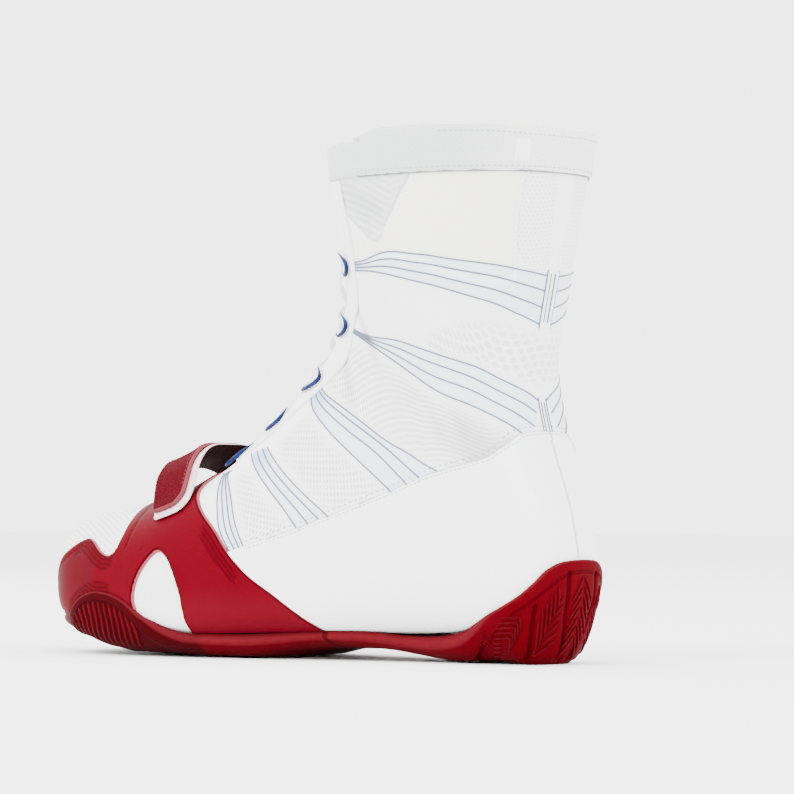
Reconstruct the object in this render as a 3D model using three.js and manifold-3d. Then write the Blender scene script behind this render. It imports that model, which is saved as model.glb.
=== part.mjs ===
// A left boxing boot, standing empty on its sole.
// Millimetres, +X to the toe, +Y to the outer side, +Z up. The origin is on the floor under the heel.

import * as THREE from "three";
import { mergeVertices } from "three/addons/utils/BufferGeometryUtils.js";
import Module from "manifold-3d";

const wasm = await Module();
wasm.setup();

// Main sizes of the boot's form
const LENGTH = 299;
const HEEL_SEAT = 46;
const BALL_WIDTH = 100;
const COLLAR_WIDTH = 100;
const INSTEP_HEIGHT = 116;
const COLLAR_HEIGHT = 239;
const HEEL_BED = 12.5;
const TOE_TIP_HEIGHT = 34;
const COLLAR_DIP = 5;

// Walls, layers and clearances
const WALL = 2;
const GAP = 0.3;
const QUARTER_THICKNESS = 0.8;
const WRAP_THICKNESS = 1.3;
const CUFF_THICKNESS = 1.1;
const EYESTAY_THICKNESS = 0.6;
const TONGUE_THICKNESS = 3;
const INSOLE_THICKNESS = 3;

// Sole
const SOLE_SIDE = 3.5;
const SOLE_BOTTOM_BLEND = 8;
const ARCH_LIFT = 5.6;
const TOE_SPRING = 17;
const HEEL_CUP_HEIGHT = 46.5;
const WAIST_HEIGHT = 15;
const TOE_WALL_HEIGHT = 19;
const FIN_WAVE_HEIGHT = 29.8;
const SIDE_GROOVE_DEPTH = 0.9;
const SIDE_GROOVE_WIDTH = 1.6;
const FIN_COUNT = 12;
const TREAD_DEPTH = 1.3;
const TREAD_GROOVE_WIDTH = 2;

// Cuff, throat, laces and loops
const CUFF_DEPTH = 21;
const EYESTAY_WIDTH = 9;
const TONGUE_OVERLAP = 9;
const LACE_WIDTH = 3.4;
const LACE_THICKNESS = 1.6;
const LOOP_LENGTH = 12.5;
const LOOP_BEND = 5;
const LOOP_CORD = 1.8;

// Strap over the instep
const STRAP_THICKNESS = 2;
const STRAP_BACKING_THICKNESS = 1.2;
const STRAP_ARCH = 11;

// Sections from the toe tip to the instep. Along: shares of LENGTH from the heel's back.
// Top up: shares of INSTEP_HEIGHT. Low up: shares of HEEL_BED. Outer, inner and lean: shares of BALL_WIDTH.
// Belly: where the section is widest, from its low end. Round top and round low: how square each half is.
const FOOT_SECTIONS = [
  // topAlong, topUp, lowAlong, lowUp, outer, inner, lean, belly, roundTop, roundLow
  [1.0, 0.293, 1.0, 2.72, 0.0, 0.0, -0.06, 0.42, 2.2, 2.6],
  [0.988, 0.455, 0.984, 1.6, 0.22, 0.22, -0.055, 0.42, 2.3, 2.8],
  [0.962, 0.55, 0.957, 1.26, 0.33, 0.325, -0.04, 0.38, 2.4, 3.2],
  [0.917, 0.59, 0.913, 0.99, 0.42, 0.4, -0.02, 0.34, 2.4, 3.6],
  [0.856, 0.605, 0.853, 0.784, 0.48, 0.45, -0.01, 0.31, 2.3, 4.2],
  [0.776, 0.635, 0.769, 0.672, 0.51, 0.47, 0.0, 0.29, 2.2, 4.8],
  [0.69, 0.705, 0.679, 0.65, 0.52, 0.48, 0.01, 0.28, 2.1, 5.0],
  [0.604, 0.83, 0.569, 0.74, 0.495, 0.43, 0.01, 0.27, 2.1, 5.0],
  [0.529, 0.985, 0.435, 0.9, 0.44, 0.38, 0.01, 0.29, 2.1, 4.5],
];

// Sections from the instep to the collar. Top up: shares of the way from INSTEP_HEIGHT to COLLAR_HEIGHT.
// Low up: shares of the way from HEEL_BED to COLLAR_HEIGHT. Widths: shares of COLLAR_WIDTH.
const SHAFT_SECTIONS = [
  // topAlong, topUp, lowAlong, lowUp, outer, inner, lean, belly, roundTop, roundLow
  [0.466, 0.155, 0.261, 0.0, 0.395, 0.37, 0.0, 0.36, 2.2, 3.6],
  [0.431, 0.3, 0.114, 0.0, 0.37, 0.37, 0.0, 0.4, 2.2, 3.2],
  [0.421, 0.4, 0.034, 0.013, 0.365, 0.365, 0.0, 0.43, 2.2, 2.9],
  [0.417, 0.5, -0.001, 0.09, 0.37, 0.37, 0.0, 0.46, 2.2, 2.5],
  [0.417, 0.6, 0.013, 0.235, 0.385, 0.385, 0.0, 0.48, 2.2, 2.3],
  [0.42, 0.7, 0.051, 0.39, 0.41, 0.41, 0.0, 0.5, 2.2, 2.2],
  [0.424, 0.79, 0.068, 0.53, 0.435, 0.435, 0.0, 0.5, 2.2, 2.2],
  [0.429, 0.88, 0.04, 0.735, 0.47, 0.47, 0.0, 0.5, 2.2, 2.2],
  [0.43, 1.0, 0.003, 1.0, 0.5, 0.5, 0.0, 0.5, 2.2, 2.2],
];

// Where rings are drawn: closer at the toe tip, in row numbers of the two tables together
const TOE_RINGS = [0, 0.1, 0.3, 0.6];
const LAST_ROW = FOOT_SECTIONS.length + SHAFT_SECTIONS.length - 1;
const RING_STEP = 0.5;
const HEEL_ROW = 11;
const SHAFT_RING_STEP = 1;
const RING_POINTS = 22;

// Outsole: height of its lower face over the floor, as shares of LENGTH and of the named lift
const ARCH_ROWS = [
  [-0.05, 0], [0.16, 0], [0.34, 1], [0.4, 1], [0.54, 0], [1.1, 0],
];
const SPRING_ROWS = [
  [-0.05, 0], [0.7, 0], [0.77, 0.02], [0.82, 0.14], [0.87, 0.34], [0.92, 0.58], [0.97, 0.87], [1.02, 1.15],
];

// Upper edge of the outsole's wall, from the toe to the heel: shares of LENGTH, the size, and shares of it
const WALL_EDGE = [
  [1.04, TOE_WALL_HEIGHT, 1.26],
  [0.97, TOE_WALL_HEIGHT, 1.05],
  [0.91, TOE_WALL_HEIGHT, 0.95],
  [0.8, TOE_WALL_HEIGHT, 0.8],
  [0.63, WAIST_HEIGHT, 0.9],
  [0.5, WAIST_HEIGHT, 0.95],
  [0.35, WAIST_HEIGHT, 1.02],
  [0.25, WAIST_HEIGHT, 1.02],
  [0.15, WAIST_HEIGHT, 1.16],
  [0.09, HEEL_CUP_HEIGHT, 0.51],
  [0.05, HEEL_CUP_HEIGHT, 0.645],
  [0.027, HEEL_CUP_HEIGHT, 0.78],
  [0.012, HEEL_CUP_HEIGHT, 0.92],
  [-0.003, HEEL_CUP_HEIGHT, 1.0],
  [-0.04, HEEL_CUP_HEIGHT, 1.0],
];

// The ribbed wave on the outer side of the forefoot: shares of LENGTH and of FIN_WAVE_HEIGHT
const FIN_WAVE = [
  [0.9, 0.4], [0.888, 0.6], [0.86, 0.83], [0.833, 0.96], [0.808, 1.0], [0.772, 0.955], [0.742, 0.85],
  [0.718, 0.7], [0.7, 0.61], [0.668, 0.51], [0.63, 0.45],
];

// Forefoot wrap: its front edge from the toe tip over the wave to the throat, and its rear edge down again
const WRAP_FRONT = [
  [1.06, 0.29], [0.985, 0.295], [0.958, 0.315], [0.935, 0.385], [0.905, 0.43], [0.87, 0.468], [0.848, 0.46],
  [0.82, 0.42], [0.8, 0.403], [0.786, 0.422], [0.782, 0.478], [0.786, 0.543], [0.792, 0.6], [0.794, 0.75],
];
const WRAP_REAR = [
  [0.66, 0.81], [0.655, 0.73], [0.648, 0.665], [0.62, 0.6], [0.575, 0.51], [0.545, 0.427], [0.505, 0.334],
  [0.455, 0.253], [0.412, 0.177], [0.39, 0.13], [0.375, 0.05],
];
const WRAP_WINDOW = [
  [0.683, 0.42], [0.66, 0.385], [0.64, 0.3], [0.628, 0.2], [0.625, 0.05], [0.7, 0.05], [0.722, 0.19],
  [0.727, 0.24], [0.72, 0.31], [0.703, 0.38],
];

// Upper edge of the heel quarter, from the wrap to the back
const QUARTER_EDGE = [
  [0.62, 0.36], [0.545, 0.425], [0.51, 0.452], [0.425, 0.517], [0.32, 0.608], [0.255, 0.663], [0.19, 0.722],
  [0.12, 0.765], [0.088, 0.79], [0.07, 0.84], [0.06, 0.885], [0.03, 0.9], [-0.05, 0.9],
];

// Throat opening seen from the front: half widths over heights, both as shares
const THROAT_EDGE = [
  [0.0, 0.355], [0.09, 0.36], [0.135, 0.385], [0.15, 0.42], [0.155, 0.47], [0.17, 0.54], [0.19, 0.64],
  [0.25, 0.7], [0.3, 0.76], [0.32, 0.83], [0.32, 1.06],
];

// The collar's edge from the back to the front: shares of LENGTH, and of COLLAR_DIP below COLLAR_HEIGHT
const COLLAR_EDGE = [
  [-0.15, 0.45], [0.0, 0.4], [0.06, 0.1], [0.15, 0], [0.24, 0], [0.275, 0.36], [0.315, 0.85], [0.35, 1], [1.1, 1],
];

// Lace levels: heights of the loops, as shares of COLLAR_HEIGHT
const LOOP_LEVELS = [0.388, 0.457, 0.535, 0.64, 0.755];

// Strap across the instep: angle round the section in degrees, lift over the wrap as a share of STRAP_ARCH
const STRAP_ROWS = [
  [-66, 0], [-59, 0.03], [-51, 0.14], [-40, 0.47], [-27, 0.86], [-13, 1.05], [0, 1.0], [13, 1.05],
  [24, 0.72], [33, 0.3], [40, 0.06], [46.5, 0],
];
const STRAP_TOE_ROW = 5.25;
const STRAP_ANKLE_ROW = 6.32;

const materials = {
  upper: { color: 0xeceae6, roughness: 0.78, metalness: 0 },
  quarter: { color: 0xf6f6f6, roughness: 0.22, metalness: 0 },
  wrap: { color: 0xa60a1e, roughness: 0.38, metalness: 0 },
  sole: { color: 0x8f0a18, roughness: 0.62, metalness: 0 },
  cuff: { color: 0xdcdcdc, roughness: 0.85, metalness: 0 },
  tongue: { color: 0xe9e9e6, roughness: 0.85, metalness: 0 },
  insole: { color: 0xd9d9d6, roughness: 0.9, metalness: 0 },
  eyestay: { color: 0xf0efec, roughness: 0.5, metalness: 0 },
  lace: { color: 0xf4f4f2, roughness: 0.9, metalness: 0 },
  loop: { color: 0x16357f, roughness: 0.6, metalness: 0 },
  backing: { color: 0xecd2d0, roughness: 0.9, metalness: 0 },
};

// The form

function footRow(row, index) {
  const [topAlong, topUp, lowAlong, lowUp, outer, inner, lean, belly, roundTop, roundLow] = row;
  const tip = index === 0;
  return {
    topX: topAlong * LENGTH - HEEL_SEAT,
    topZ: tip ? TOE_TIP_HEIGHT : topUp * INSTEP_HEIGHT,
    lowX: lowAlong * LENGTH - HEEL_SEAT,
    lowZ: tip ? TOE_TIP_HEIGHT : lowUp * HEEL_BED,
    outer: outer * BALL_WIDTH,
    inner: inner * BALL_WIDTH,
    lean: lean * BALL_WIDTH,
    belly,
    roundTop,
    roundLow,
  };
}

function shaftRow(row) {
  const [topAlong, topUp, lowAlong, lowUp, outer, inner, lean, belly, roundTop, roundLow] = row;
  return {
    topX: topAlong * LENGTH - HEEL_SEAT,
    topZ: THREE.MathUtils.lerp(INSTEP_HEIGHT, COLLAR_HEIGHT, topUp),
    lowX: lowAlong * LENGTH - HEEL_SEAT,
    lowZ: THREE.MathUtils.lerp(HEEL_BED, COLLAR_HEIGHT, lowUp),
    outer: outer * COLLAR_WIDTH,
    inner: inner * COLLAR_WIDTH,
    lean: lean * COLLAR_WIDTH,
    belly,
    roundTop,
    roundLow,
  };
}

const rows = [...FOOT_SECTIONS.map(footRow), ...SHAFT_SECTIONS.map(shaftRow)];

// The row before the toe tip is the first one mirrored, which rounds the tip.
function rowAt(index) {
  if (index >= 0 && index < rows.length) {
    return rows[index];
  }
  if (index < 0) {
    const next = rows[1];
    return {
      ...next,
      topX: next.lowX,
      topZ: next.lowZ,
      lowX: next.topX,
      lowZ: next.topZ,
      outer: -next.outer,
      inner: -next.inner,
    };
  }
  const last = rows[rows.length - 1];
  const before = rows[rows.length - 2];
  const beyond = {};
  for (const key of Object.keys(last)) {
    beyond[key] = 2 * last[key] - before[key];
  }
  return beyond;
}

function sectionAt(t) {
  const index = Math.min(Math.max(Math.floor(t), 0), rows.length - 2);
  const f = t - index;
  const [p0, p1, p2, p3] = [-1, 0, 1, 2].map((step) => rowAt(index + step));
  const section = {};
  for (const key of Object.keys(p1)) {
    const straight = (p2[key] - p0[key]) * f;
    const square = (2 * p0[key] - 5 * p1[key] + 4 * p2[key] - p3[key]) * f ** 2;
    const cube = (3 * p1[key] - p0[key] - 3 * p2[key] + p3[key]) * f ** 3;
    section[key] = 0.5 * (2 * p1[key] + straight + square + cube);
  }
  return section;
}

// A point of the form: t along the rows, angle 0 at the section's top and a quarter turn at the outer side
function formPoint(t, angle) {
  const s = sectionAt(t);
  const up = Math.cos(angle);
  const side = Math.sin(angle);
  const power = up > 0 ? s.roundTop : s.roundLow;
  const radius = (Math.abs(up) ** power + Math.abs(side) ** power) ** (-1 / power);
  const reach = up > 0 ? 1 - s.belly : s.belly;
  const share = s.belly + radius * up * reach;
  const half = side > 0 ? s.outer : s.inner;
  return new THREE.Vector3(
    THREE.MathUtils.lerp(s.lowX, s.topX, share),
    s.lean + radius * side * half,
    THREE.MathUtils.lerp(s.lowZ, s.topZ, share),
  );
}

const SLOPE_STEP = 1e-3;

function formNormal(t, angle) {
  if (t < SLOPE_STEP) {
    return new THREE.Vector3(1, 0, 0);
  }
  const along = formPoint(t + SLOPE_STEP, angle).sub(formPoint(t - SLOPE_STEP, angle));
  const around = formPoint(t, angle + SLOPE_STEP).sub(formPoint(t, angle - SLOPE_STEP));
  return around.cross(along).normalize();
}

function surfacePoint(t, angle, offset) {
  return formPoint(t, angle).addScaledVector(formNormal(t, angle), offset);
}

function ringRows(last) {
  const list = [...TOE_RINGS];
  for (let t = 1; t <= last + SLOPE_STEP; t += t < HEEL_ROW ? RING_STEP : SHAFT_RING_STEP) {
    list.push(t);
  }
  return list;
}

// Solids

function solidFrom(geometry) {
  const plain = geometry.clone();
  plain.deleteAttribute("normal");
  plain.deleteAttribute("uv");
  const merged = mergeVertices(plain, 1e-4);
  return new wasm.Manifold(new wasm.Mesh({
    numProp: 3,
    vertProperties: new Float32Array(merged.attributes.position.array),
    triVerts: new Uint32Array(merged.index.array),
  }));
}

// A closed solid through rings of equal length. A ring of one point is a pole; other ends are capped.
function loft(rings) {
  const positions = [];
  const indices = [];
  const starts = [];
  const add = (p) => positions.push(p.x, p.y, p.z);
  for (const ring of rings) {
    starts.push(positions.length / 3);
    ring.forEach(add);
  }
  const count = Math.max(...rings.map((ring) => ring.length));
  const at = (i, j) => starts[i] + (rings[i].length === 1 ? 0 : j % count);
  for (let i = 0; i + 1 < rings.length; i += 1) {
    for (let j = 0; j < count; j += 1) {
      const quad = [at(i, j), at(i, j + 1), at(i + 1, j + 1), at(i + 1, j)];
      if (quad[0] !== quad[1]) {
        indices.push(quad[0], quad[1], quad[2]);
      }
      if (quad[2] !== quad[3]) {
        indices.push(quad[0], quad[2], quad[3]);
      }
    }
  }
  for (const [end, forward] of [[0, false], [rings.length - 1, true]]) {
    if (rings[end].length > 1) {
      const centre = positions.length / 3;
      add(rings[end].reduce((sum, p) => sum.add(p), new THREE.Vector3()).divideScalar(count));
      for (let j = 0; j < count; j += 1) {
        const pair = forward ? [at(end, j), at(end, j + 1)] : [at(end, j + 1), at(end, j)];
        indices.push(...pair, centre);
      }
    }
  }
  const geometry = new THREE.BufferGeometry();
  geometry.setAttribute("position", new THREE.Float32BufferAttribute(positions, 3));
  geometry.setIndex(indices);
  return solidFrom(geometry);
}

const COLLAR_EXTENSION = 12;

// The form grown by an offset, closed, and drawn past the collar so that it can be trimmed there
function formSolid(offset, last = LAST_ROW, reshape = (p) => p) {
  const rings = ringRows(last).map((t) => {
    if (t === 0) {
      return [reshape(surfacePoint(0, 0, offset))];
    }
    const ring = [];
    for (let j = 0; j < RING_POINTS; j += 1) {
      ring.push(reshape(surfacePoint(t, (2 * Math.PI * j) / RING_POINTS, offset)));
    }
    return ring;
  });
  if (last === LAST_ROW) {
    const end = rings[rings.length - 1];
    rings.push(end.map((p) => p.clone().setZ(COLLAR_HEIGHT + COLLAR_EXTENSION)));
  }
  return loft(rings);
}

const WIDE = 90;

// A prism through the boot from side to side, over an outline of points given as x and z
function sidePrism(points, from = -WIDE, to = WIDE) {
  const shape = new THREE.Shape(points.map(([x, z]) => new THREE.Vector2(x, z)));
  const geometry = new THREE.ExtrudeGeometry(shape, { depth: to - from, bevelEnabled: false });
  geometry.rotateX(Math.PI / 2);
  geometry.translate(0, to, 0);
  return solidFrom(geometry);
}

// A prism from front to back, over an outline of points given as y and z
function frontPrism(points, from, to) {
  const shape = new THREE.Shape(points.map(([y, z]) => new THREE.Vector2(y, z)));
  const geometry = new THREE.ExtrudeGeometry(shape, { depth: to - from, bevelEnabled: false });
  geometry.rotateX(Math.PI / 2);
  geometry.rotateZ(Math.PI / 2);
  geometry.translate(from, 0, 0);
  return solidFrom(geometry);
}

// A prism straight up, over an outline of points given as x and y
function floorPrism(points, from, to) {
  const shape = new THREE.Shape(points.map(([x, y]) => new THREE.Vector2(x, y)));
  const geometry = new THREE.ExtrudeGeometry(shape, { depth: to - from, bevelEnabled: false });
  geometry.translate(0, 0, from);
  return solidFrom(geometry);
}

// A smooth line through points, at a few places between each pair
function smooth(points, steps) {
  const curve = new THREE.SplineCurve(points.map(([x, y]) => new THREE.Vector2(x, y)));
  return curve.getPoints((points.length - 1) * steps).map((p) => [p.x, p.y]);
}

function along(share) {
  return share * LENGTH - HEEL_SEAT;
}

function interpolate(table, value) {
  const index = Math.max(0, table.findIndex((row, i) => i + 1 < table.length && value <= table[i + 1][0]));
  const [x0, y0] = table[index];
  const [x1, y1] = table[index + 1];
  return THREE.MathUtils.lerp(y0, y1, THREE.MathUtils.smoothstep(value, x0, x1));
}

// Outlines used by more than one piece

const FLOOR_CUT = -20;
const EDGE_CLEARANCE = 0.45;

const wallEdge = WALL_EDGE.map(([share, size, part]) => [along(share), size * part]);

function underLine(points) {
  const first = points[0];
  const last = points[points.length - 1];
  return [...points, [last[0], FLOOR_CUT], [first[0], FLOOR_CUT]];
}

// Everything below the upper edge of the outsole's wall, with the ribbed wave on the outer side
function belowWallEdge(raised) {
  const wave = FIN_WAVE.map(([share, part]) => [along(share), part * FIN_WAVE_HEIGHT]);
  const wall = sidePrism(underLine(wallEdge));
  const waveWall = sidePrism(underLine(wave), 0, WIDE);
  return wall.add(waveWall).translate([0, 0, raised]);
}

const onInstep = (list) => list.map(([share, part]) => [along(share), part * INSTEP_HEIGHT]);

function throatOutline(grown) {
  const half = THROAT_EDGE.map(([width, height]) => [width * COLLAR_WIDTH + grown, height * COLLAR_HEIGHT]);
  half[0] = [0, half[0][1] - grown];
  const left = half.slice(1).map(([y, z]) => [-y, z]).reverse();
  return [...half, ...left];
}

const THROAT_BACK = 45;
const THROAT_FRONT = 220;

function throatPrism(grown) {
  return frontPrism(throatOutline(grown), THROAT_BACK, THROAT_FRONT);
}

const collarEdge = COLLAR_EDGE.map(([share, part]) => [along(share), COLLAR_HEIGHT - part * COLLAR_DIP]);
const belowCollar = (lowered) => sidePrism(underLine(collarEdge)).translate([0, 0, -lowered]);

function shell(inside, outside) {
  return formSolid(outside).subtract(formSolid(inside));
}

// The bed line: the form's lowest line from heel to toe
const bedLine = rows
  .slice(1, FOOT_SECTIONS.length + 3)
  .map((row) => [row.lowX, row.lowZ])
  .reverse();

function bedHeight(x) {
  const index = Math.max(0, bedLine.findIndex((row, i) => i + 1 < bedLine.length && x <= bedLine[i + 1][0]));
  const [x0, z0] = bedLine[index];
  const [x1, z1] = bedLine[index + 1];
  return THREE.MathUtils.lerp(z0, z1, Math.min(Math.max((x - x0) / (x1 - x0), 0), 1));
}

// Outsole

const FLAT_PRESS = 0.5;

function soleBottom(x) {
  const share = (x + HEEL_SEAT) / LENGTH;
  return interpolate(ARCH_ROWS, share) * ARCH_LIFT + interpolate(SPRING_ROWS, share) * TOE_SPRING - FLAT_PRESS;
}

// Stretches the lower part of the grown form down to the sole's lower face and presses it flat on the floor
function toSole(p) {
  const bed = bedHeight(p.x);
  const upper = bed + SOLE_BOTTOM_BLEND;
  if (p.z >= upper) {
    return p;
  }
  const share = (p.z - (bed - SOLE_SIDE)) / (upper - (bed - SOLE_SIDE));
  return p.clone().setZ(Math.max(THREE.MathUtils.lerp(soleBottom(p.x), upper, share), 0));
}

const SOLE_LAST_ROW = 14;

function soleForm(offset) {
  return formSolid(offset, SOLE_LAST_ROW, toSole);
}

// An even strip along a line of points
function strip(points, width) {
  const left = [];
  const right = [];
  points.forEach(([x, y], i) => {
    const [ax, ay] = points[Math.max(i - 1, 0)];
    const [bx, by] = points[Math.min(i + 1, points.length - 1)];
    const length = Math.hypot(bx - ax, by - ay);
    const dx = ((by - ay) / length) * (width / 2);
    const dy = ((bx - ax) / length) * (width / 2);
    left.push([x - dx, y + dy]);
    right.push([x + dx, y - dy]);
  });
  return [...left, ...right.reverse()];
}

function waveHeight(x) {
  const wave = FIN_WAVE.map(([share, part]) => [along(share), part * FIN_WAVE_HEIGHT]).reverse();
  return interpolate(wave, x);
}

const FIN_FIRST = 0.885;
const FIN_LAST = 0.665;
const FIN_RIM = 3;
const FIN_FOOT = 4;
const FIN_BEND = 2.5;

function finGrooves() {
  const cuts = [];
  for (let i = 0; i < FIN_COUNT; i += 1) {
    const x = along(THREE.MathUtils.lerp(FIN_FIRST, FIN_LAST, i / (FIN_COUNT - 1)));
    const top = waveHeight(x) - FIN_RIM;
    const foot = soleBottom(x) + FIN_FOOT;
    const line = [[x + FIN_BEND, foot], [x, (top + foot) / 2], [x + FIN_BEND, top]];
    cuts.push(sidePrism(strip(line, SIDE_GROOVE_WIDTH), 0, WIDE));
  }
  return cuts;
}

// Upright grooves on both sides of the heel: shares of LENGTH and of HEEL_CUP_HEIGHT
const HEEL_GROOVES = [
  [[0.134, 0.04], [0.101, 0.32]],
  [[0.054, 0.02], [0.035, 0.26], [0.022, 0.55]],
];

// Upright grooves either side of the heel's back: shares of BALL_WIDTH and of HEEL_CUP_HEIGHT
const BACK_GROOVE = [[0.028, 0.04], [0.085, 0.38], [0.1, 0.86]];
const BACK_GROOVE_REACH = 0.06;

function heelGrooves() {
  const sides = HEEL_GROOVES.map((line) => {
    const points = line.map(([share, part]) => [along(share), part * HEEL_CUP_HEIGHT]);
    return sidePrism(strip(points, SIDE_GROOVE_WIDTH), -WIDE, WIDE);
  });
  const backs = [1, -1].map((side) => {
    const points = BACK_GROOVE.map(([share, part]) => [side * share * BALL_WIDTH, part * HEEL_CUP_HEIGHT]);
    return frontPrism(strip(points, SIDE_GROOVE_WIDTH), -WIDE, along(BACK_GROOVE_REACH));
  });
  return [...sides, ...backs];
}

const TREAD_HALF = 0.44;
const TREAD_ZIGZAG = 0.03;
const TREAD_FOREFOOT = [0.545, 0.585, 0.66, 0.7];
const TREAD_HEEL = [0.085, 0.115, 0.195, 0.225];
const HEEL_TREAD_SHARE = 0.62;

// Zigzag grooves across the tread, either side of the flat landing spots
function treadGrooves() {
  const cuts = [];
  const across = [-1, -0.33, 0.33, 1];
  for (const [list, share] of [[TREAD_FOREFOOT, 1], [TREAD_HEEL, HEEL_TREAD_SHARE]]) {
    for (const place of list) {
      const line = across.map((step, i) => [
        along(place + (i % 2 ? TREAD_ZIGZAG : 0)),
        step * TREAD_HALF * share * BALL_WIDTH,
      ]);
      cuts.push(floorPrism(strip(line, TREAD_GROOVE_WIDTH), FLOOR_CUT, TREAD_DEPTH));
    }
  }
  return cuts;
}

function outsole() {
  let solid = soleForm(SOLE_SIDE).intersect(belowWallEdge(0));
  const core = soleForm(SOLE_SIDE - SIDE_GROOVE_DEPTH);
  for (const cut of [...finGrooves(), ...heelGrooves()]) {
    solid = solid.subtract(cut.subtract(core));
  }
  for (const cut of treadGrooves()) {
    solid = solid.subtract(cut);
  }
  return solid.subtract(formSolid(GAP));
}

// Upper and what lines it

const HATCH_MARGIN = 4;
const HATCH_DROP = 8;
const HATCH_LAST_ROW = 12;

function upper() {
  const hatch = formSolid(-WALL - HATCH_MARGIN, HATCH_LAST_ROW).translate([0, 0, -HATCH_DROP]);
  return formSolid(0)
    .subtract(formSolid(-WALL))
    .intersect(belowCollar(0))
    .subtract(throatPrism(0))
    .subtract(hatch);
}

function insole() {
  const top = WALL + GAP + INSOLE_THICKNESS;
  const line = [
    [-WIDE, bedLine[0][1] + top],
    ...bedLine.map(([x, z]) => [x, z + top]),
    [LENGTH, bedLine[bedLine.length - 1][1] + top],
  ];
  return formSolid(-WALL - GAP, HATCH_LAST_ROW).intersect(sidePrism(underLine(line)));
}

const TONGUE_RISE = 1;

function tongue() {
  const inside = -WALL - GAP - TONGUE_THICKNESS;
  return shell(inside, -WALL - GAP)
    .intersect(throatPrism(TONGUE_OVERLAP))
    .intersect(belowCollar(-TONGUE_RISE));
}

// Layers over the upper

function overlay(thickness) {
  return shell(GAP, GAP + thickness);
}

const wrapOutline = [
  ...smooth(onInstep(WRAP_FRONT), 2),
  ...onInstep(WRAP_REAR),
  [along(WRAP_REAR[WRAP_REAR.length - 1][0]), FLOOR_CUT],
  [along(WRAP_FRONT[0][0]), FLOOR_CUT],
];

const WRAP_THROAT_MARGIN = 1.5;

function forefootWrap() {
  return overlay(WRAP_THICKNESS)
    .intersect(sidePrism(wrapOutline))
    .subtract(sidePrism(onInstep(WRAP_WINDOW)))
    .subtract(throatPrism(WRAP_THROAT_MARGIN))
    .subtract(frontPrism(wingSplit(), THROAT_BACK, THROAT_FRONT))
    .subtract(belowWallEdge(EDGE_CLEARANCE));
}

const WING_GAP_HALF = 0.085;
const WING_GAP_FOOT = 0.55;

// The two wings of the wrap stay apart over the middle of the instep
function wingSplit() {
  const half = WING_GAP_HALF * BALL_WIDTH + WRAP_THROAT_MARGIN;
  const foot = WING_GAP_FOOT * INSTEP_HEIGHT;
  return [[-half, foot], [half, foot], [half, INSTEP_HEIGHT], [-half, INSTEP_HEIGHT]];
}

function heelQuarter() {
  const line = onInstep(QUARTER_EDGE);
  return overlay(QUARTER_THICKNESS)
    .intersect(sidePrism(underLine(line)))
    .subtract(sidePrism(wrapOutline).translate([-EDGE_CLEARANCE, 0, 0]))
    .subtract(sidePrism(wrapOutline))
    .subtract(belowWallEdge(EDGE_CLEARANCE));
}

const CUFF_THROAT_MARGIN = 1.2;
const CUFF_LIP = 0.8;

function collarCuff() {
  const low = COLLAR_HEIGHT - CUFF_DEPTH;
  const below = sidePrism([[-WIDE, FLOOR_CUT], [LENGTH, FLOOR_CUT], [LENGTH, low], [-WIDE, low]]);
  return overlay(CUFF_THICKNESS)
    .intersect(belowCollar(CUFF_LIP))
    .subtract(below)
    .subtract(throatPrism(CUFF_THROAT_MARGIN));
}

const EYESTAY_EDGE = 0.6;
const EYESTAY_FOOT = 0.375;

function eyestay(side) {
  const low = EYESTAY_FOOT * COLLAR_HEIGHT;
  const high = COLLAR_HEIGHT - CUFF_DEPTH - EDGE_CLEARANCE;
  const reach = side * WIDE;
  const zone = frontPrism([[0, low], [WIDE, low], [WIDE, high], [0, high]], THROAT_BACK, THROAT_FRONT);
  const half = side > 0 ? zone : zone.translate([0, -WIDE, 0]);
  return overlay(EYESTAY_THICKNESS)
    .intersect(throatPrism(EYESTAY_WIDTH))
    .intersect(half)
    .subtract(sidePrism(wrapOutline).translate([-EDGE_CLEARANCE, 0, 0]))
    .subtract(throatPrism(EYESTAY_EDGE));
}

// Spots on the front of the form, found by their y and z

const HALVINGS = 40;
const TONGUE_ROW = 5;

function bisect(low, high, rising) {
  let a = low;
  let b = high;
  for (let i = 0; i < HALVINGS; i += 1) {
    const middle = (a + b) / 2;
    if (rising(middle) < 0) {
      a = middle;
    } else {
      b = middle;
    }
  }
  return (a + b) / 2;
}

function frontSpot(y, z) {
  const angleFor = (t) => bisect(-Math.PI / 2, Math.PI / 2, (angle) => formPoint(t, angle).y - y);
  const t = bisect(TONGUE_ROW, LAST_ROW, (value) => formPoint(value, angleFor(value)).z - z);
  return { t, angle: angleFor(t) };
}

const LOOP_INSET = 1.5;

function throatHalf(z) {
  const table = THROAT_EDGE.map(([width, height]) => [height * COLLAR_HEIGHT, width * COLLAR_WIDTH]);
  return interpolate(table, z);
}

function frontPoint(y, z, offset) {
  const spot = frontSpot(y, z);
  return surfacePoint(spot.t, spot.angle, offset);
}

const levels = LOOP_LEVELS.map((share) => {
  const z = share * COLLAR_HEIGHT;
  return { z, y: throatHalf(z) + LOOP_INSET };
});

const LOOP_CLEARANCE = 0.45;
const layersUnder = GAP + EYESTAY_THICKNESS + LOOP_CLEARANCE;
const loopMiddle = layersUnder + LOOP_CORD / 2;
const LACE_LIFT = 0.3;
const laceMiddle = layersUnder + LACE_LIFT + LACE_THICKNESS / 2;

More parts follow.
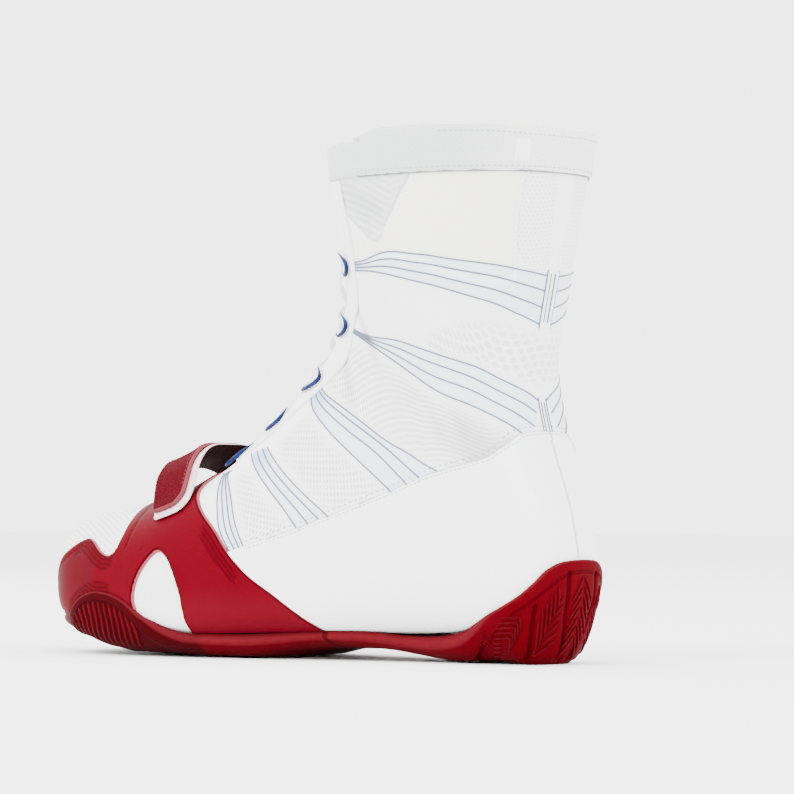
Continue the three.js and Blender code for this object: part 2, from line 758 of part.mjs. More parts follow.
// A tube of few sides along points, each with its own outward direction
function sweep(points, outward, width, thickness, sides) {
  const widest = Math.cos(Math.PI / sides);
  const rings = points.map((p, i) => {
    const ahead = points[Math.min(i + 1, points.length - 1)];
    const behind = points[Math.max(i - 1, 0)];
    const direction = ahead.clone().sub(behind).normalize();
    const side = direction.clone().cross(outward[i]).normalize();
    const out = direction.clone().cross(side);
    const ring = [];
    for (let j = 0; j < sides; j += 1) {
      const turn = (2 * Math.PI * (j + 0.5)) / sides;
      ring.push(p.clone()
        .addScaledVector(side, (Math.cos(turn) * width) / 2 / widest)
        .addScaledVector(out, (Math.sin(turn) * thickness) / 2 / widest));
    }
    return ring;
  });
  return loft(rings);
}

const LOOP_STEPS = 5;
const LOOP_SIDES = 6;

// A short arc of cord that lies round the lace's end and bends back over the eyestay
function laceLoop(side, { y, z }) {
  const points = [];
  const outward = [];
  for (let i = 0; i <= LOOP_STEPS; i += 1) {
    const turn = (Math.PI * i) / LOOP_STEPS;
    const rise = Math.cos(turn) * (LOOP_LENGTH - LOOP_CORD) / 2;
    const spot = frontSpot(side * (y + Math.sin(turn) * LOOP_BEND), z + rise);
    points.push(surfacePoint(spot.t, spot.angle, loopMiddle));
    outward.push(formNormal(spot.t, spot.angle));
  }
  return sweep(points, outward, LOOP_CORD, LOOP_CORD, LOOP_SIDES);
}

const LACE_STEPS = 5;
const LACE_SIDES = 4;
const LACE_END = 1;

function laceRun(from, to) {
  const points = [];
  const outward = [];
  for (let i = 0; i <= LACE_STEPS; i += 1) {
    const share = i / LACE_STEPS;
    const spot = frontSpot(
      THREE.MathUtils.lerp(from.y, to.y, share),
      THREE.MathUtils.lerp(from.z, to.z, share),
    );
    points.push(surfacePoint(spot.t, spot.angle, laceMiddle));
    outward.push(formNormal(spot.t, spot.angle));
  }
  return sweep(points, outward, LACE_WIDTH, LACE_THICKNESS, LACE_SIDES);
}

function lace() {
  const spotOn = (side, level) => ({ y: side * (level.y + LACE_END), z: level.z });
  let solid = laceRun(spotOn(1, levels[0]), spotOn(-1, levels[0]));
  for (let i = 0; i + 1 < levels.length; i += 1) {
    for (const side of [1, -1]) {
      solid = solid.add(laceRun(spotOn(side, levels[i]), spotOn(-side, levels[i + 1])));
    }
  }
  return solid;
}

// Strap and the pale layer under it

const STRAP_CLEARANCE = 0.9;
const STRAP_SEAT = GAP + WRAP_THICKNESS + STRAP_CLEARANCE;
const BACKING_WIDER = 0.12;
const BACKING_LONGER = 3;
const STRAP_WIDTHS = [1, 1, 1, 1, 1, 1, 1, 0.97, 0.9, 0.8, 0.68, 0.44];
const STRAP_PLACES = [0, 0.5, 1];

function strapLayer(low, thickness, wider, longer) {
  const rings = STRAP_ROWS.map(([degrees, lift], i) => {
    const end = i === STRAP_ROWS.length - 1;
    const angle = THREE.MathUtils.degToRad(degrees + (end ? longer : 0));
    const width = (STRAP_ANKLE_ROW - STRAP_TOE_ROW) * STRAP_WIDTHS[i];
    const at = (share, offset) => {
      const t = STRAP_ANKLE_ROW - (1 - share) * width + (share > 0.5 ? wider : 0);
      return surfacePoint(t, angle, STRAP_SEAT + STRAP_ARCH * lift + offset);
    };
    const upperFace = STRAP_PLACES.map((share) => at(share, low + thickness));
    const lowerFace = STRAP_PLACES.map((share) => at(1 - share, low));
    return [...upperFace, ...lowerFace].reverse();
  });
  return loft(rings);
}

const LAYER_CLEARANCE = 0.5;
const strap = () => strapLayer(STRAP_BACKING_THICKNESS + LAYER_CLEARANCE, STRAP_THICKNESS, 0, 0);
const strapBacking = () => strapLayer(0, STRAP_BACKING_THICKNESS, BACKING_WIDER, BACKING_LONGER);

// The boot

const group = new THREE.Group();

const FACET_TOLERANCE = 0.085;

function addPiece(name, solid, look) {
  const { vertProperties, triVerts } = solid.simplify(FACET_TOLERANCE).getMesh();
  const geometry = new THREE.BufferGeometry();
  geometry.setAttribute("position", new THREE.BufferAttribute(vertProperties, 3));
  geometry.setIndex(new THREE.BufferAttribute(triVerts, 1));
  geometry.computeVertexNormals();
  const mesh = new THREE.Mesh(geometry, new THREE.MeshStandardMaterial(materials[look]));
  mesh.name = name;
  group.add(mesh);
}

addPiece("outsole", outsole(), "sole");
addPiece("upper", upper(), "upper");
addPiece("insole", insole(), "insole");
addPiece("tongue", tongue(), "tongue");
addPiece("heel_quarter", heelQuarter(), "quarter");
addPiece("forefoot_wrap", forefootWrap(), "wrap");
addPiece("collar_cuff", collarCuff(), "cuff");
addPiece("eyestay_outer", eyestay(1), "eyestay");
addPiece("eyestay_inner", eyestay(-1), "eyestay");
addPiece("strap", strap(), "wrap");
addPiece("strap_backing", strapBacking(), "backing");
addPiece("lace", lace(), "lace");
levels.forEach((level, i) => {
  addPiece(`lace_loop_outer_${i + 1}`, laceLoop(1, level), "loop");
  addPiece(`lace_loop_inner_${i + 1}`, laceLoop(-1, level), "loop");
});

export default group;
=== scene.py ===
import math

import bpy
import numpy as np
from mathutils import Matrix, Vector


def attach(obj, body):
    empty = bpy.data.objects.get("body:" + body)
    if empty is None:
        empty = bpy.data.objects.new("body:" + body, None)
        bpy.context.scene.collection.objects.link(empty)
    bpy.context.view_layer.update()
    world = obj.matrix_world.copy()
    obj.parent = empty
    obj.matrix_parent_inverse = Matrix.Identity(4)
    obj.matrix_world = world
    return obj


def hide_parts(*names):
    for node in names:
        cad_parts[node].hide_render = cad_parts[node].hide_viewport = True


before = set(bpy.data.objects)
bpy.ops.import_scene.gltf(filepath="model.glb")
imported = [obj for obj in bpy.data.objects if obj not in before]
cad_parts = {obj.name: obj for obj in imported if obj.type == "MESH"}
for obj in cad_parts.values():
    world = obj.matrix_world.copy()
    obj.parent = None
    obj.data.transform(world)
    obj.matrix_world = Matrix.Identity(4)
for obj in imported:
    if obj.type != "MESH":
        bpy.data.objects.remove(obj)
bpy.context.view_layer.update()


# Main sizes of the boot's form, in millimetres
LENGTH = 299
HEEL_SEAT = 46
BALL_WIDTH = 100
COLLAR_WIDTH = 100
INSTEP_HEIGHT = 116
COLLAR_HEIGHT = 239
HEEL_BED = 12.5
TOE_TIP_HEIGHT = 34
COLLAR_DIP = 5
WALL = 2
GAP = 0.3
SOLE_SIDE = 3.5
SOLE_BOTTOM_BLEND = 8
ARCH_LIFT = 5.6
TOE_SPRING = 17
HEEL_CUP_HEIGHT = 46.5
WAIST_HEIGHT = 15
TOE_WALL_HEIGHT = 19
FIN_WAVE_HEIGHT = 29.8
CUFF_DEPTH = 21
EYESTAY_WIDTH = 9
EYESTAY_THICKNESS = 0.6
TONGUE_OVERLAP = 9
TONGUE_THICKNESS = 3
LOOP_LENGTH = 12.5
LOOP_BEND = 5
LOOP_CORD = 1.8
LACE_WIDTH = 3.4
EYESTAY_FOOT = 0.375
INSOLE_THICKNESS = 3
LACE_THICKNESS = 1.6
STRAP_THICKNESS = 2
STRAP_BACKING_THICKNESS = 1.2
STRAP_ARCH = 11
MM = 0.001

# Sections from the toe tip to the instep, as shares of the sizes above
FOOT_SECTIONS = [
    # top_along, top_up, low_along, low_up, outer, inner, lean, belly, round_top, round_low
    (1.0, 0.293, 1.0, 2.72, 0.0, 0.0, -0.06, 0.42, 2.2, 2.6),
    (0.988, 0.455, 0.984, 1.6, 0.22, 0.22, -0.055, 0.42, 2.3, 2.8),
    (0.962, 0.55, 0.957, 1.26, 0.33, 0.325, -0.04, 0.38, 2.4, 3.2),
    (0.917, 0.59, 0.913, 0.99, 0.42, 0.4, -0.02, 0.34, 2.4, 3.6),
    (0.856, 0.605, 0.853, 0.784, 0.48, 0.45, -0.01, 0.31, 2.3, 4.2),
    (0.776, 0.635, 0.769, 0.672, 0.51, 0.47, 0.0, 0.29, 2.2, 4.8),
    (0.69, 0.705, 0.679, 0.65, 0.52, 0.48, 0.01, 0.28, 2.1, 5.0),
    (0.604, 0.83, 0.569, 0.74, 0.495, 0.43, 0.01, 0.27, 2.1, 5.0),
    (0.529, 0.985, 0.435, 0.9, 0.44, 0.38, 0.01, 0.29, 2.1, 4.5),
]

# Sections from the instep to the collar, as shares of the sizes above
SHAFT_SECTIONS = [
    # top_along, top_up, low_along, low_up, outer, inner, lean, belly, round_top, round_low
    (0.466, 0.155, 0.261, 0.0, 0.395, 0.37, 0.0, 0.36, 2.2, 3.6),
    (0.431, 0.3, 0.114, 0.0, 0.37, 0.37, 0.0, 0.4, 2.2, 3.2),
    (0.421, 0.4, 0.034, 0.013, 0.365, 0.365, 0.0, 0.43, 2.2, 2.9),
    (0.417, 0.5, -0.001, 0.09, 0.37, 0.37, 0.0, 0.46, 2.2, 2.5),
    (0.417, 0.6, 0.013, 0.235, 0.385, 0.385, 0.0, 0.48, 2.2, 2.3),
    (0.42, 0.7, 0.051, 0.39, 0.41, 0.41, 0.0, 0.5, 2.2, 2.2),
    (0.424, 0.79, 0.068, 0.53, 0.435, 0.435, 0.0, 0.5, 2.2, 2.2),
    (0.429, 0.88, 0.04, 0.735, 0.47, 0.47, 0.0, 0.5, 2.2, 2.2),
    (0.43, 1.0, 0.003, 1.0, 0.5, 0.5, 0.0, 0.5, 2.2, 2.2),
]
LAST_ROW = len(FOOT_SECTIONS) + len(SHAFT_SECTIONS) - 1

# Upper edge of the outsole's wall: share of LENGTH, size, share of it
WALL_EDGE = [
    (1.04, TOE_WALL_HEIGHT, 1.26), (0.97, TOE_WALL_HEIGHT, 1.05), (0.91, TOE_WALL_HEIGHT, 0.95),
    (0.8, TOE_WALL_HEIGHT, 0.8), (0.63, WAIST_HEIGHT, 0.9), (0.5, WAIST_HEIGHT, 0.95),
    (0.35, WAIST_HEIGHT, 1.02), (0.25, WAIST_HEIGHT, 1.02), (0.15, WAIST_HEIGHT, 1.16),
    (0.09, HEEL_CUP_HEIGHT, 0.51), (0.05, HEEL_CUP_HEIGHT, 0.645), (0.027, HEEL_CUP_HEIGHT, 0.78),
    (0.012, HEEL_CUP_HEIGHT, 0.92), (-0.003, HEEL_CUP_HEIGHT, 1.0), (-0.04, HEEL_CUP_HEIGHT, 1.0),
]

# Ribbed wave on the outer side: shares of LENGTH and of FIN_WAVE_HEIGHT
FIN_WAVE = [
    (0.9, 0.4), (0.888, 0.6), (0.86, 0.83), (0.833, 0.96), (0.808, 1.0), (0.772, 0.955),
    (0.742, 0.85), (0.718, 0.7), (0.7, 0.61), (0.668, 0.51), (0.63, 0.45),
]

# Forefoot wrap's front and rear edges and window: shares of LENGTH and INSTEP_HEIGHT
WRAP_FRONT = [
    (1.06, 0.29), (0.985, 0.295), (0.958, 0.315), (0.935, 0.385), (0.905, 0.43), (0.87, 0.468),
    (0.848, 0.46), (0.82, 0.42), (0.8, 0.403), (0.786, 0.422), (0.782, 0.478), (0.786, 0.543),
    (0.792, 0.6), (0.794, 0.75),
]

# Its rear edge
WRAP_REAR = [
    (0.66, 0.81), (0.655, 0.73), (0.648, 0.665), (0.62, 0.6), (0.575, 0.51), (0.545, 0.427),
    (0.505, 0.334), (0.455, 0.253), (0.412, 0.177), (0.39, 0.13), (0.375, 0.05),
]

# Its window
WRAP_WINDOW = [
    (0.683, 0.42), (0.66, 0.385), (0.64, 0.3), (0.628, 0.2), (0.625, 0.05), (0.7, 0.05),
    (0.722, 0.19), (0.727, 0.24), (0.72, 0.31), (0.703, 0.38),
]

# Upper edge of the heel quarter
QUARTER_EDGE = [
    (0.62, 0.36), (0.545, 0.425), (0.51, 0.452), (0.425, 0.517), (0.32, 0.608), (0.255, 0.663),
    (0.19, 0.722), (0.12, 0.765), (0.088, 0.79), (0.07, 0.84), (0.06, 0.885), (0.03, 0.9),
    (-0.05, 0.9),
]

# Throat seen from the front: half widths over heights
THROAT_EDGE = [
    (0.0, 0.355), (0.09, 0.36), (0.135, 0.385), (0.15, 0.42), (0.155, 0.47), (0.17, 0.54),
    (0.19, 0.64), (0.25, 0.7), (0.3, 0.76), (0.32, 0.83), (0.32, 1.06),
]

# The collar's edge: shares of LENGTH and of COLLAR_DIP
COLLAR_EDGE = [
    (-0.15, 0.45), (0.0, 0.4), (0.06, 0.1), (0.15, 0), (0.24, 0), (0.275, 0.36), (0.315, 0.85),
    (0.35, 1), (1.1, 1),
]

# The sole's lower face over the floor: shares of LENGTH and of the named lift
ARCH_ROWS = [
    (-0.05, 0), (0.16, 0), (0.34, 1), (0.4, 1), (0.54, 0), (1.1, 0),
]

# Toe spring
SPRING_ROWS = [
    (-0.05, 0), (0.7, 0), (0.77, 0.02), (0.82, 0.14), (0.87, 0.34), (0.92, 0.58), (0.97, 0.87),
    (1.02, 1.15),
]

# Strap over the instep: degrees round the section, lift as a share of STRAP_ARCH
STRAP_ROWS = [
    (-66, 0), (-59, 0.03), (-51, 0.14), (-40, 0.47), (-27, 0.86), (-13, 1.05), (0, 1.0), (13, 1.05),
    (24, 0.72), (33, 0.3), (40, 0.06), (46.5, 0),
]

# Heights of the lace loops, as shares of COLLAR_HEIGHT
LOOP_LEVELS = [0.388, 0.457, 0.535, 0.64, 0.755]
STRAP_TOE_ROW = 5.25
STRAP_ANKLE_ROW = 6.32


# The form

def section_rows():
    """One row a section: top x and z, low x and z, outer, inner, lean, belly, round top, round low."""
    rows = []
    for top_along, top_up, low_along, low_up, outer, inner, lean, *rest in FOOT_SECTIONS:
        ends = [top_along * LENGTH - HEEL_SEAT, top_up * INSTEP_HEIGHT]
        ends += [low_along * LENGTH - HEEL_SEAT, low_up * HEEL_BED]
        rows.append(ends + [outer * BALL_WIDTH, inner * BALL_WIDTH, lean * BALL_WIDTH] + rest)
    rows[0][1] = rows[0][3] = TOE_TIP_HEIGHT
    for top_along, top_up, low_along, low_up, outer, inner, lean, *rest in SHAFT_SECTIONS:
        ends = [top_along * LENGTH - HEEL_SEAT, INSTEP_HEIGHT + top_up * (COLLAR_HEIGHT - INSTEP_HEIGHT)]
        ends += [low_along * LENGTH - HEEL_SEAT, HEEL_BED + low_up * (COLLAR_HEIGHT - HEEL_BED)]
        rows.append(ends + [outer * COLLAR_WIDTH, inner * COLLAR_WIDTH, lean * COLLAR_WIDTH] + rest)
    return np.array(rows)


ROWS = section_rows()


def sections_at(t):
    """Smooth values between the rows. The row before the toe tip is the first one mirrored."""
    before = ROWS[1].copy()
    before[[0, 1, 2, 3]] = ROWS[1][[2, 3, 0, 1]]
    before[4:6] *= -1
    table = np.vstack([before, ROWS, 2 * ROWS[-1] - ROWS[-2]])
    index = np.clip(np.floor(t).astype(int), 0, LAST_ROW - 1)
    f = (t - index)[..., None]
    p0, p1, p2, p3 = (table[index + step] for step in range(4))
    square = (2 * p0 - 5 * p1 + 4 * p2 - p3) * f ** 2
    cube = (3 * p1 - p0 - 3 * p2 + p3) * f ** 3
    return 0.5 * (2 * p1 + (p2 - p0) * f + square + cube)


def form_points(t, angle):
    """Points of the form: t along the rows, angle 0 at the top and a quarter turn at the outer side."""
    s = np.moveaxis(sections_at(t), -1, 0)
    up, side = np.cos(angle), np.sin(angle)
    power = np.where(up > 0, s[8], s[9])
    radius = (np.abs(up) ** power + np.abs(side) ** power) ** (-1 / power)
    share = s[7] + radius * up * np.where(up > 0, 1 - s[7], s[7])
    half = np.where(side > 0, s[4], s[5])
    x = s[2] + (s[0] - s[2]) * share
    z = s[3] + (s[1] - s[3]) * share
    return np.stack([x, s[6] + radius * side * half, z], -1)


def form_normals(t, angle, step=2e-3):
    low = np.maximum(t - step, 0)
    along = form_points(t + step, angle) - form_points(low, angle)
    around = form_points(t, angle + step) - form_points(t, angle - step)
    normals = np.cross(around, along)
    length = np.linalg.norm(normals, axis=-1, keepdims=True)
    normals = normals / np.maximum(length, 1e-12)
    normals[t < step] = (1, 0, 0)
    return normals


def form_offset(t, angle, offset):
    return form_points(t, angle) + form_normals(t, angle) * np.asarray(offset)[..., None]


def even_rows(count, first, last):
    """Row numbers from toe to collar, spaced evenly over the form's side and front."""
    fine = np.linspace(first, last, 900)
    length = np.zeros(len(fine))
    for angle in (0.0, 1.4, 2.6, math.pi):
        points = form_points(fine, np.full_like(fine, angle))
        steps = np.linalg.norm(np.diff(points, axis=0), axis=1)
        length[1:] += np.cumsum(steps)
    return np.interp(np.linspace(0, length[-1], count), length, fine)


def smoothstep(value, low, high):
    share = np.clip((value - low) / (high - low), 0, 1)
    return share * share * (3 - 2 * share)


# Outlines seen from the side

FLOOR_CUT = -30


def along(share):
    return share * LENGTH - HEEL_SEAT


def on_instep(points):
    return np.array([(along(share), part * INSTEP_HEIGHT) for share, part in points])


def smooth_line(points, steps=8, closed=False):
    """A smooth line through points."""
    points = np.asarray(points, float)
    count = len(points)
    result = []
    for i in range(count if closed else count - 1):
        if closed:
            p0, p1, p2, p3 = (points[(i + k) % count] for k in (-1, 0, 1, 2))
        else:
            p0, p1, p2, p3 = (points[min(max(i + k, 0), count - 1)] for k in (-1, 0, 1, 2))
        for f in np.arange(steps) / steps:
            square = (2 * p0 - 5 * p1 + 4 * p2 - p3) * f ** 2
            cube = (3 * p1 - p0 - 3 * p2 + p3) * f ** 3
            result.append(0.5 * (2 * p1 + (p2 - p0) * f + square + cube))
    if not closed:
        result.append(points[-1])
    return np.array(result)


def line_distance(u, v, line):
    """Distance from points u, v to an open line."""
    best = np.full(u.shape, 1e9)
    for (x0, y0), (x1, y1) in zip(line[:-1], line[1:]):
        dx, dy = x1 - x0, y1 - y0
        share = np.clip(((u - x0) * dx + (v - y0) * dy) / max(dx * dx + dy * dy, 1e-12), 0, 1)
        best = np.minimum(best, np.hypot(u - x0 - share * dx, v - y0 - share * dy))
    return best


def inside_distance(u, v, outline):
    """Distance to a closed outline, above zero inside it."""
    closed = np.vstack([outline, outline[:1]])
    inside = np.zeros(u.shape, bool)
    for (x0, y0), (x1, y1) in zip(closed[:-1], closed[1:]):
        if y0 != y1:
            crosses = (v < y0) != (v < y1)
            inside ^= crosses & (u < (x1 - x0) * (v - y0) / (y1 - y0) + x0)
    return np.where(inside, 1, -1) * line_distance(u, v, closed)


def under(points):
    """An outline of everything below a line."""
    points = np.asarray(points)
    return np.vstack([points, [points[-1][0], FLOOR_CUT], [points[0][0], FLOOR_CUT]])


WALL_LINE = smooth_line([(along(share), size * part) for share, size, part in WALL_EDGE])
WAVE_LINE = smooth_line([(along(share), part * FIN_WAVE_HEIGHT) for share, part in FIN_WAVE])
WRAP_LINE = np.vstack([
    smooth_line(on_instep(WRAP_FRONT)), smooth_line(on_instep(WRAP_REAR)),
    [[along(0.375), FLOOR_CUT], [along(1.06), FLOOR_CUT]],
])
WINDOW_LINE = smooth_line(on_instep(WRAP_WINDOW), closed=True)
QUARTER_LINE = smooth_line(on_instep(QUARTER_EDGE))
THROAT_HALF = smooth_line([(width * COLLAR_WIDTH, height * COLLAR_HEIGHT) for width, height in THROAT_EDGE])
COLLAR_LINE = smooth_line([(along(share), COLLAR_HEIGHT - part * COLLAR_DIP) for share, part in COLLAR_EDGE])


def sole_field(p):
    """Above zero below the upper edge of the outsole's wall, with the ribbed wave on the outer side."""
    wall = inside_distance(p[..., 0], p[..., 2], under(WALL_LINE))
    wave = inside_distance(p[..., 0], p[..., 2], under(WAVE_LINE))
    return np.where(p[..., 1] > 0, np.maximum(wall, wave), wall)


def throat_field(p):
    """Above zero inside the throat opening."""
    line = np.vstack([THROAT_HALF, (THROAT_HALF * (-1, 1))[::-1]])
    field = inside_distance(p[..., 1], p[..., 2], line)
    return np.where(p[..., 0] > 45, field, -50)


def collar_field(p):
    """Above zero below the collar's edge."""
    return inside_distance(p[..., 0], p[..., 2], under(COLLAR_LINE))


def wrap_field(p):
    body = inside_distance(p[..., 0], p[..., 2], WRAP_LINE)
    window = inside_distance(p[..., 0], p[..., 2], WINDOW_LINE)
    split = np.abs(p[..., 1]) - 10
    split = np.where(p[..., 2] > 0.55 * INSTEP_HEIGHT, split, 50)
    return np.minimum.reduce([body, -window, split, -throat_field(p) - 1.5, -sole_field(p) + 2.2])


def quarter_field(p):
    body = inside_distance(p[..., 0], p[..., 2], under(QUARTER_LINE))
    wrap = inside_distance(p[..., 0], p[..., 2], WRAP_LINE)
    return np.minimum.reduce([body, -wrap + 1.5, -sole_field(p) + 2.2])


def table_value(table, share):
    xs = np.array([row[0] for row in table])
    ys = np.array([row[1] for row in table])
    index = np.clip(np.searchsorted(xs, share) - 1, 0, len(xs) - 2)
    f = smoothstep(share, xs[index], xs[index + 1])
    return ys[index] + (ys[index + 1] - ys[index]) * f


def bed_height(x):
    bed = ROWS[1:len(FOOT_SECTIONS) + 3][::-1]
    return np.interp(x, bed[:, 2], bed[:, 3])


def sole_bottom(x):
    share = (x + HEEL_SEAT) / LENGTH
    return table_value(ARCH_ROWS, share) * ARCH_LIFT + table_value(SPRING_ROWS, share) * TOE_SPRING - 0.5


def to_sole(p):
    """Stretches the lower part of the grown form down to the sole's lower face, flat on the floor."""
    bed = bed_height(p[..., 0])
    upper = bed + SOLE_BOTTOM_BLEND
    share = (p[..., 2] - (bed - SOLE_SIDE)) / (upper - (bed - SOLE_SIDE))
    low = sole_bottom(p[..., 0])
    z = np.maximum(low + (upper - low) * share, 0)
    result = p.copy()
    result[..., 2] = np.where(p[..., 2] < upper, z, p[..., 2])
    return result


# Meshes

class Grid:
    """Points on the form over a range of rows and of angles. A whole turn of angles is closed."""

    def __init__(self, rows, columns, first=0.0, last=LAST_ROW, turn=(-180, 180), surface=form_offset):
        t = even_rows(rows, first, last)
        self.whole = turn[1] - turn[0] == 360
        angle = np.radians(np.linspace(*turn, columns + 1))
        if self.whole:
            angle = angle[:-1]
        self.t, self.angle = np.meshgrid(t, angle, indexing="ij")
        self.shape = self.t.shape
        self.pole = first == 0
        self.surface = surface
        self.points = form_points(self.t, self.angle)
        self.cloth()

    def offset(self, amount):
        points = self.surface(self.t, self.angle, np.broadcast_to(np.asarray(amount, float), self.shape))
        if self.pole:
            points[0] = points[0].mean(0)
        return points

    def cloth(self):
        """Lengths along the cloth in millimetres, around from the front and along from the toe."""
        around = np.linalg.norm(np.diff(self.points, axis=1), axis=-1)
        around = np.pad(np.cumsum(around, 1), ((0, 0), (1, 0)))
        middle = np.argmin(np.abs(self.angle[0]))
        down = np.linalg.norm(np.diff(self.points, axis=0), axis=-1)
        self.values = {
            "around": np.abs(around - around[:, middle:middle + 1]),
            "along": np.pad(np.cumsum(down, 0), ((1, 0), (0, 0))),
        }

    def faces(self):
        rows, columns = self.shape
        corner = np.arange(rows * columns).reshape(rows, columns)
        if self.pole:
            corner[0] = 0
        if self.whole:
            corner = np.hstack([corner, corner[:, :1]])
        a, b = corner[:-1, :-1].ravel(), corner[:-1, 1:].ravel()
        c, d = corner[1:, 1:].ravel(), corner[1:, :-1].ravel()
        faces = np.vstack([np.stack([a, b, c], 1), np.stack([a, c, d], 1)])
        return faces[(faces[:, 0] != faces[:, 1])]

    def zone(self, places):
        """Millimetres inside an outline on the cloth, given as rows and degrees, on both sides."""
        return inside_distance(*self.chart(), smooth_line(cloth_chart(places), 4, closed=True))

    def chart(self):
        return np.abs(np.degrees(self.angle)) * MM_A_DEGREE, self.t * MM_A_ROW


MM_A_DEGREE = 0.8
MM_A_ROW = 15.0


def cloth_chart(places):
    return np.array([(degrees * MM_A_DEGREE, row * MM_A_ROW) for row, degrees in places])


def clip(faces, field, arrays):
    """Keeps the part of a mesh where field is above zero, and cuts the faces on its edge."""
    inside = field > 0
    count = inside[faces].sum(1)
    kept = [faces[count == 3]]
    edges = {}
    extra = []

    def cut(a, b):
        key = (min(a, b), max(a, b))
        if key not in edges:
            edges[key] = len(field) + len(extra)
            share = field[a] / (field[a] - field[b])
            extra.append([values[a] + (values[b] - values[a]) * share for values in arrays])
        return edges[key]

    new = []
    for face in faces[(count == 1) | (count == 2)]:
        flags = inside[face]
        odd = int(np.argmax(flags)) if flags.sum() == 1 else int(np.argmin(flags))
        a, b, c = (int(face[(odd + k) % 3]) for k in range(3))
        ab, ac = cut(a, b), cut(a, c)
        if flags.sum() == 1:
            new.append((a, ab, ac))
        else:
            new.append((ab, b, c))
            new.append((ab, c, ac))
    if new:
        kept.append(np.array(new))
    faces = np.vstack(kept)
    arrays = [np.concatenate([values, np.array([row[i] for row in extra])]) if extra else values
              for i, values in enumerate(arrays)]
    used, index = np.unique(faces, return_inverse=True)
    return index.reshape(-1, 3), [values[used] for values in arrays]


def border(faces):
    """The open edges of a mesh, in the faces' own direction."""
    edges = np.vstack([faces[:, [0, 1]], faces[:, [1, 2]], faces[:, [2, 0]]])
    _, first, count = np.unique(np.sort(edges, 1), axis=0, return_index=True, return_counts=True)
    return edges[first[count == 1]]


def add_mesh(name, points, faces, values=None):
    """A smooth mesh object in metres from points in millimetres, with named values on its points."""
    mesh = bpy.data.meshes.new(name)
    mesh.from_pydata((np.asarray(points) * MM).tolist(), [], np.asarray(faces).tolist())
    for key, value in (values or {}).items():
        layer = mesh.attributes.new(key, "FLOAT", "POINT")
        layer.data.foreach_set("value", value.astype(np.float32))
    mesh.update()
    mesh.shade_smooth()
    return link_piece(name, mesh)


def link_piece(name, mesh):
    piece = bpy.data.objects.new(name, mesh)
    bpy.context.collection.objects.link(piece)
    return piece


def closed_sheet(name, faces, field, outer, inner, values):
    """A closed piece between two layers of points, where field is above zero."""
    keys = list(values)
    arrays = [outer.reshape(-1, 3), inner.reshape(-1, 3)] + [values[key].ravel() for key in keys]
    faces, arrays = clip(faces, field.ravel(), arrays)
    top, low = arrays[:2]
    rim = border(faces)
    count = len(top)
    walls = np.vstack([
        np.stack([rim[:, 1], rim[:, 0], rim[:, 0] + count], 1),
        np.stack([rim[:, 1], rim[:, 0] + count, rim[:, 1] + count], 1),
    ])
    doubled = {key: np.concatenate([array, array]) for key, array in zip(keys, arrays[2:])}
    doubled["inside"] = np.repeat([0.0, 1.0], count)
    return add_mesh(name, np.vstack([top, low]), np.vstack([faces, faces[:, ::-1] + count, walls]), doubled)


def grid_sheet(name, grid, field, outer, inner, **values):
    values = {**grid.values, **values}
    return closed_sheet(name, grid.faces(), field, grid.offset(outer), grid.offset(inner), values)


def rounded(field, height, radius):
    """A layer's height that rounds off to nothing over radius at the outline."""
    share = np.clip(field / radius, 0, 1)
    return height * np.sqrt(np.clip(1 - (1 - share) ** 2, 0, 1))


def contour(grid, field, level=0.0):
    """Lines on a grid, as rows and angles, along which a field has one value."""
    value = field.ravel() - level
    t, angle = grid.t.ravel(), grid.angle.ravel()
    inside = value > 0
    faces = grid.faces()
    count = inside[faces].sum(1)
    links = {}
    for face in faces[(count == 1) | (count == 2)]:
        pairs = [tuple(sorted((int(face[k]), int(face[(k + 1) % 3])))) for k in range(3)]
        ends = [pair for pair in pairs if inside[pair[0]] != inside[pair[1]]]
        links.setdefault(ends[0], []).append(ends[1])
        links.setdefault(ends[1], []).append(ends[0])
    lines = []
    starts = [key for key in links if len(links[key]) == 1] + list(links)
    used = set()
    for start in starts:
        if start in used:
            continue
        chain = [start]
        used.add(start)
        while True:
            ahead = [key for key in links[chain[-1]] if key not in used]
            if not ahead:
                break
            chain.append(ahead[0])
            used.add(ahead[0])
        places = []
        for a, b in chain:
            share = value[a] / (value[a] - value[b])
            turn = (angle[b] - angle[a] + math.pi) % (2 * math.pi) - math.pi
            places.append((t[a] + (t[b] - t[a]) * share, angle[a] + turn * share))
        if len(places) > 6:
            lines.append(np.array(places))
    return lines


def pick(lines, keep, least=5):
    """The runs of each line for which keep(rows, angles) holds."""
    runs = []
    for line in lines:
        flags = keep(line[:, 0], np.abs(line[:, 1]))
        start = None
        for i, flag in enumerate([*flags, False]):
            if flag and start is None:
                start = i
            if not flag and start is not None:
                if i - start >= least:
                    runs.append(line[start:i])
                start = None
    return runs


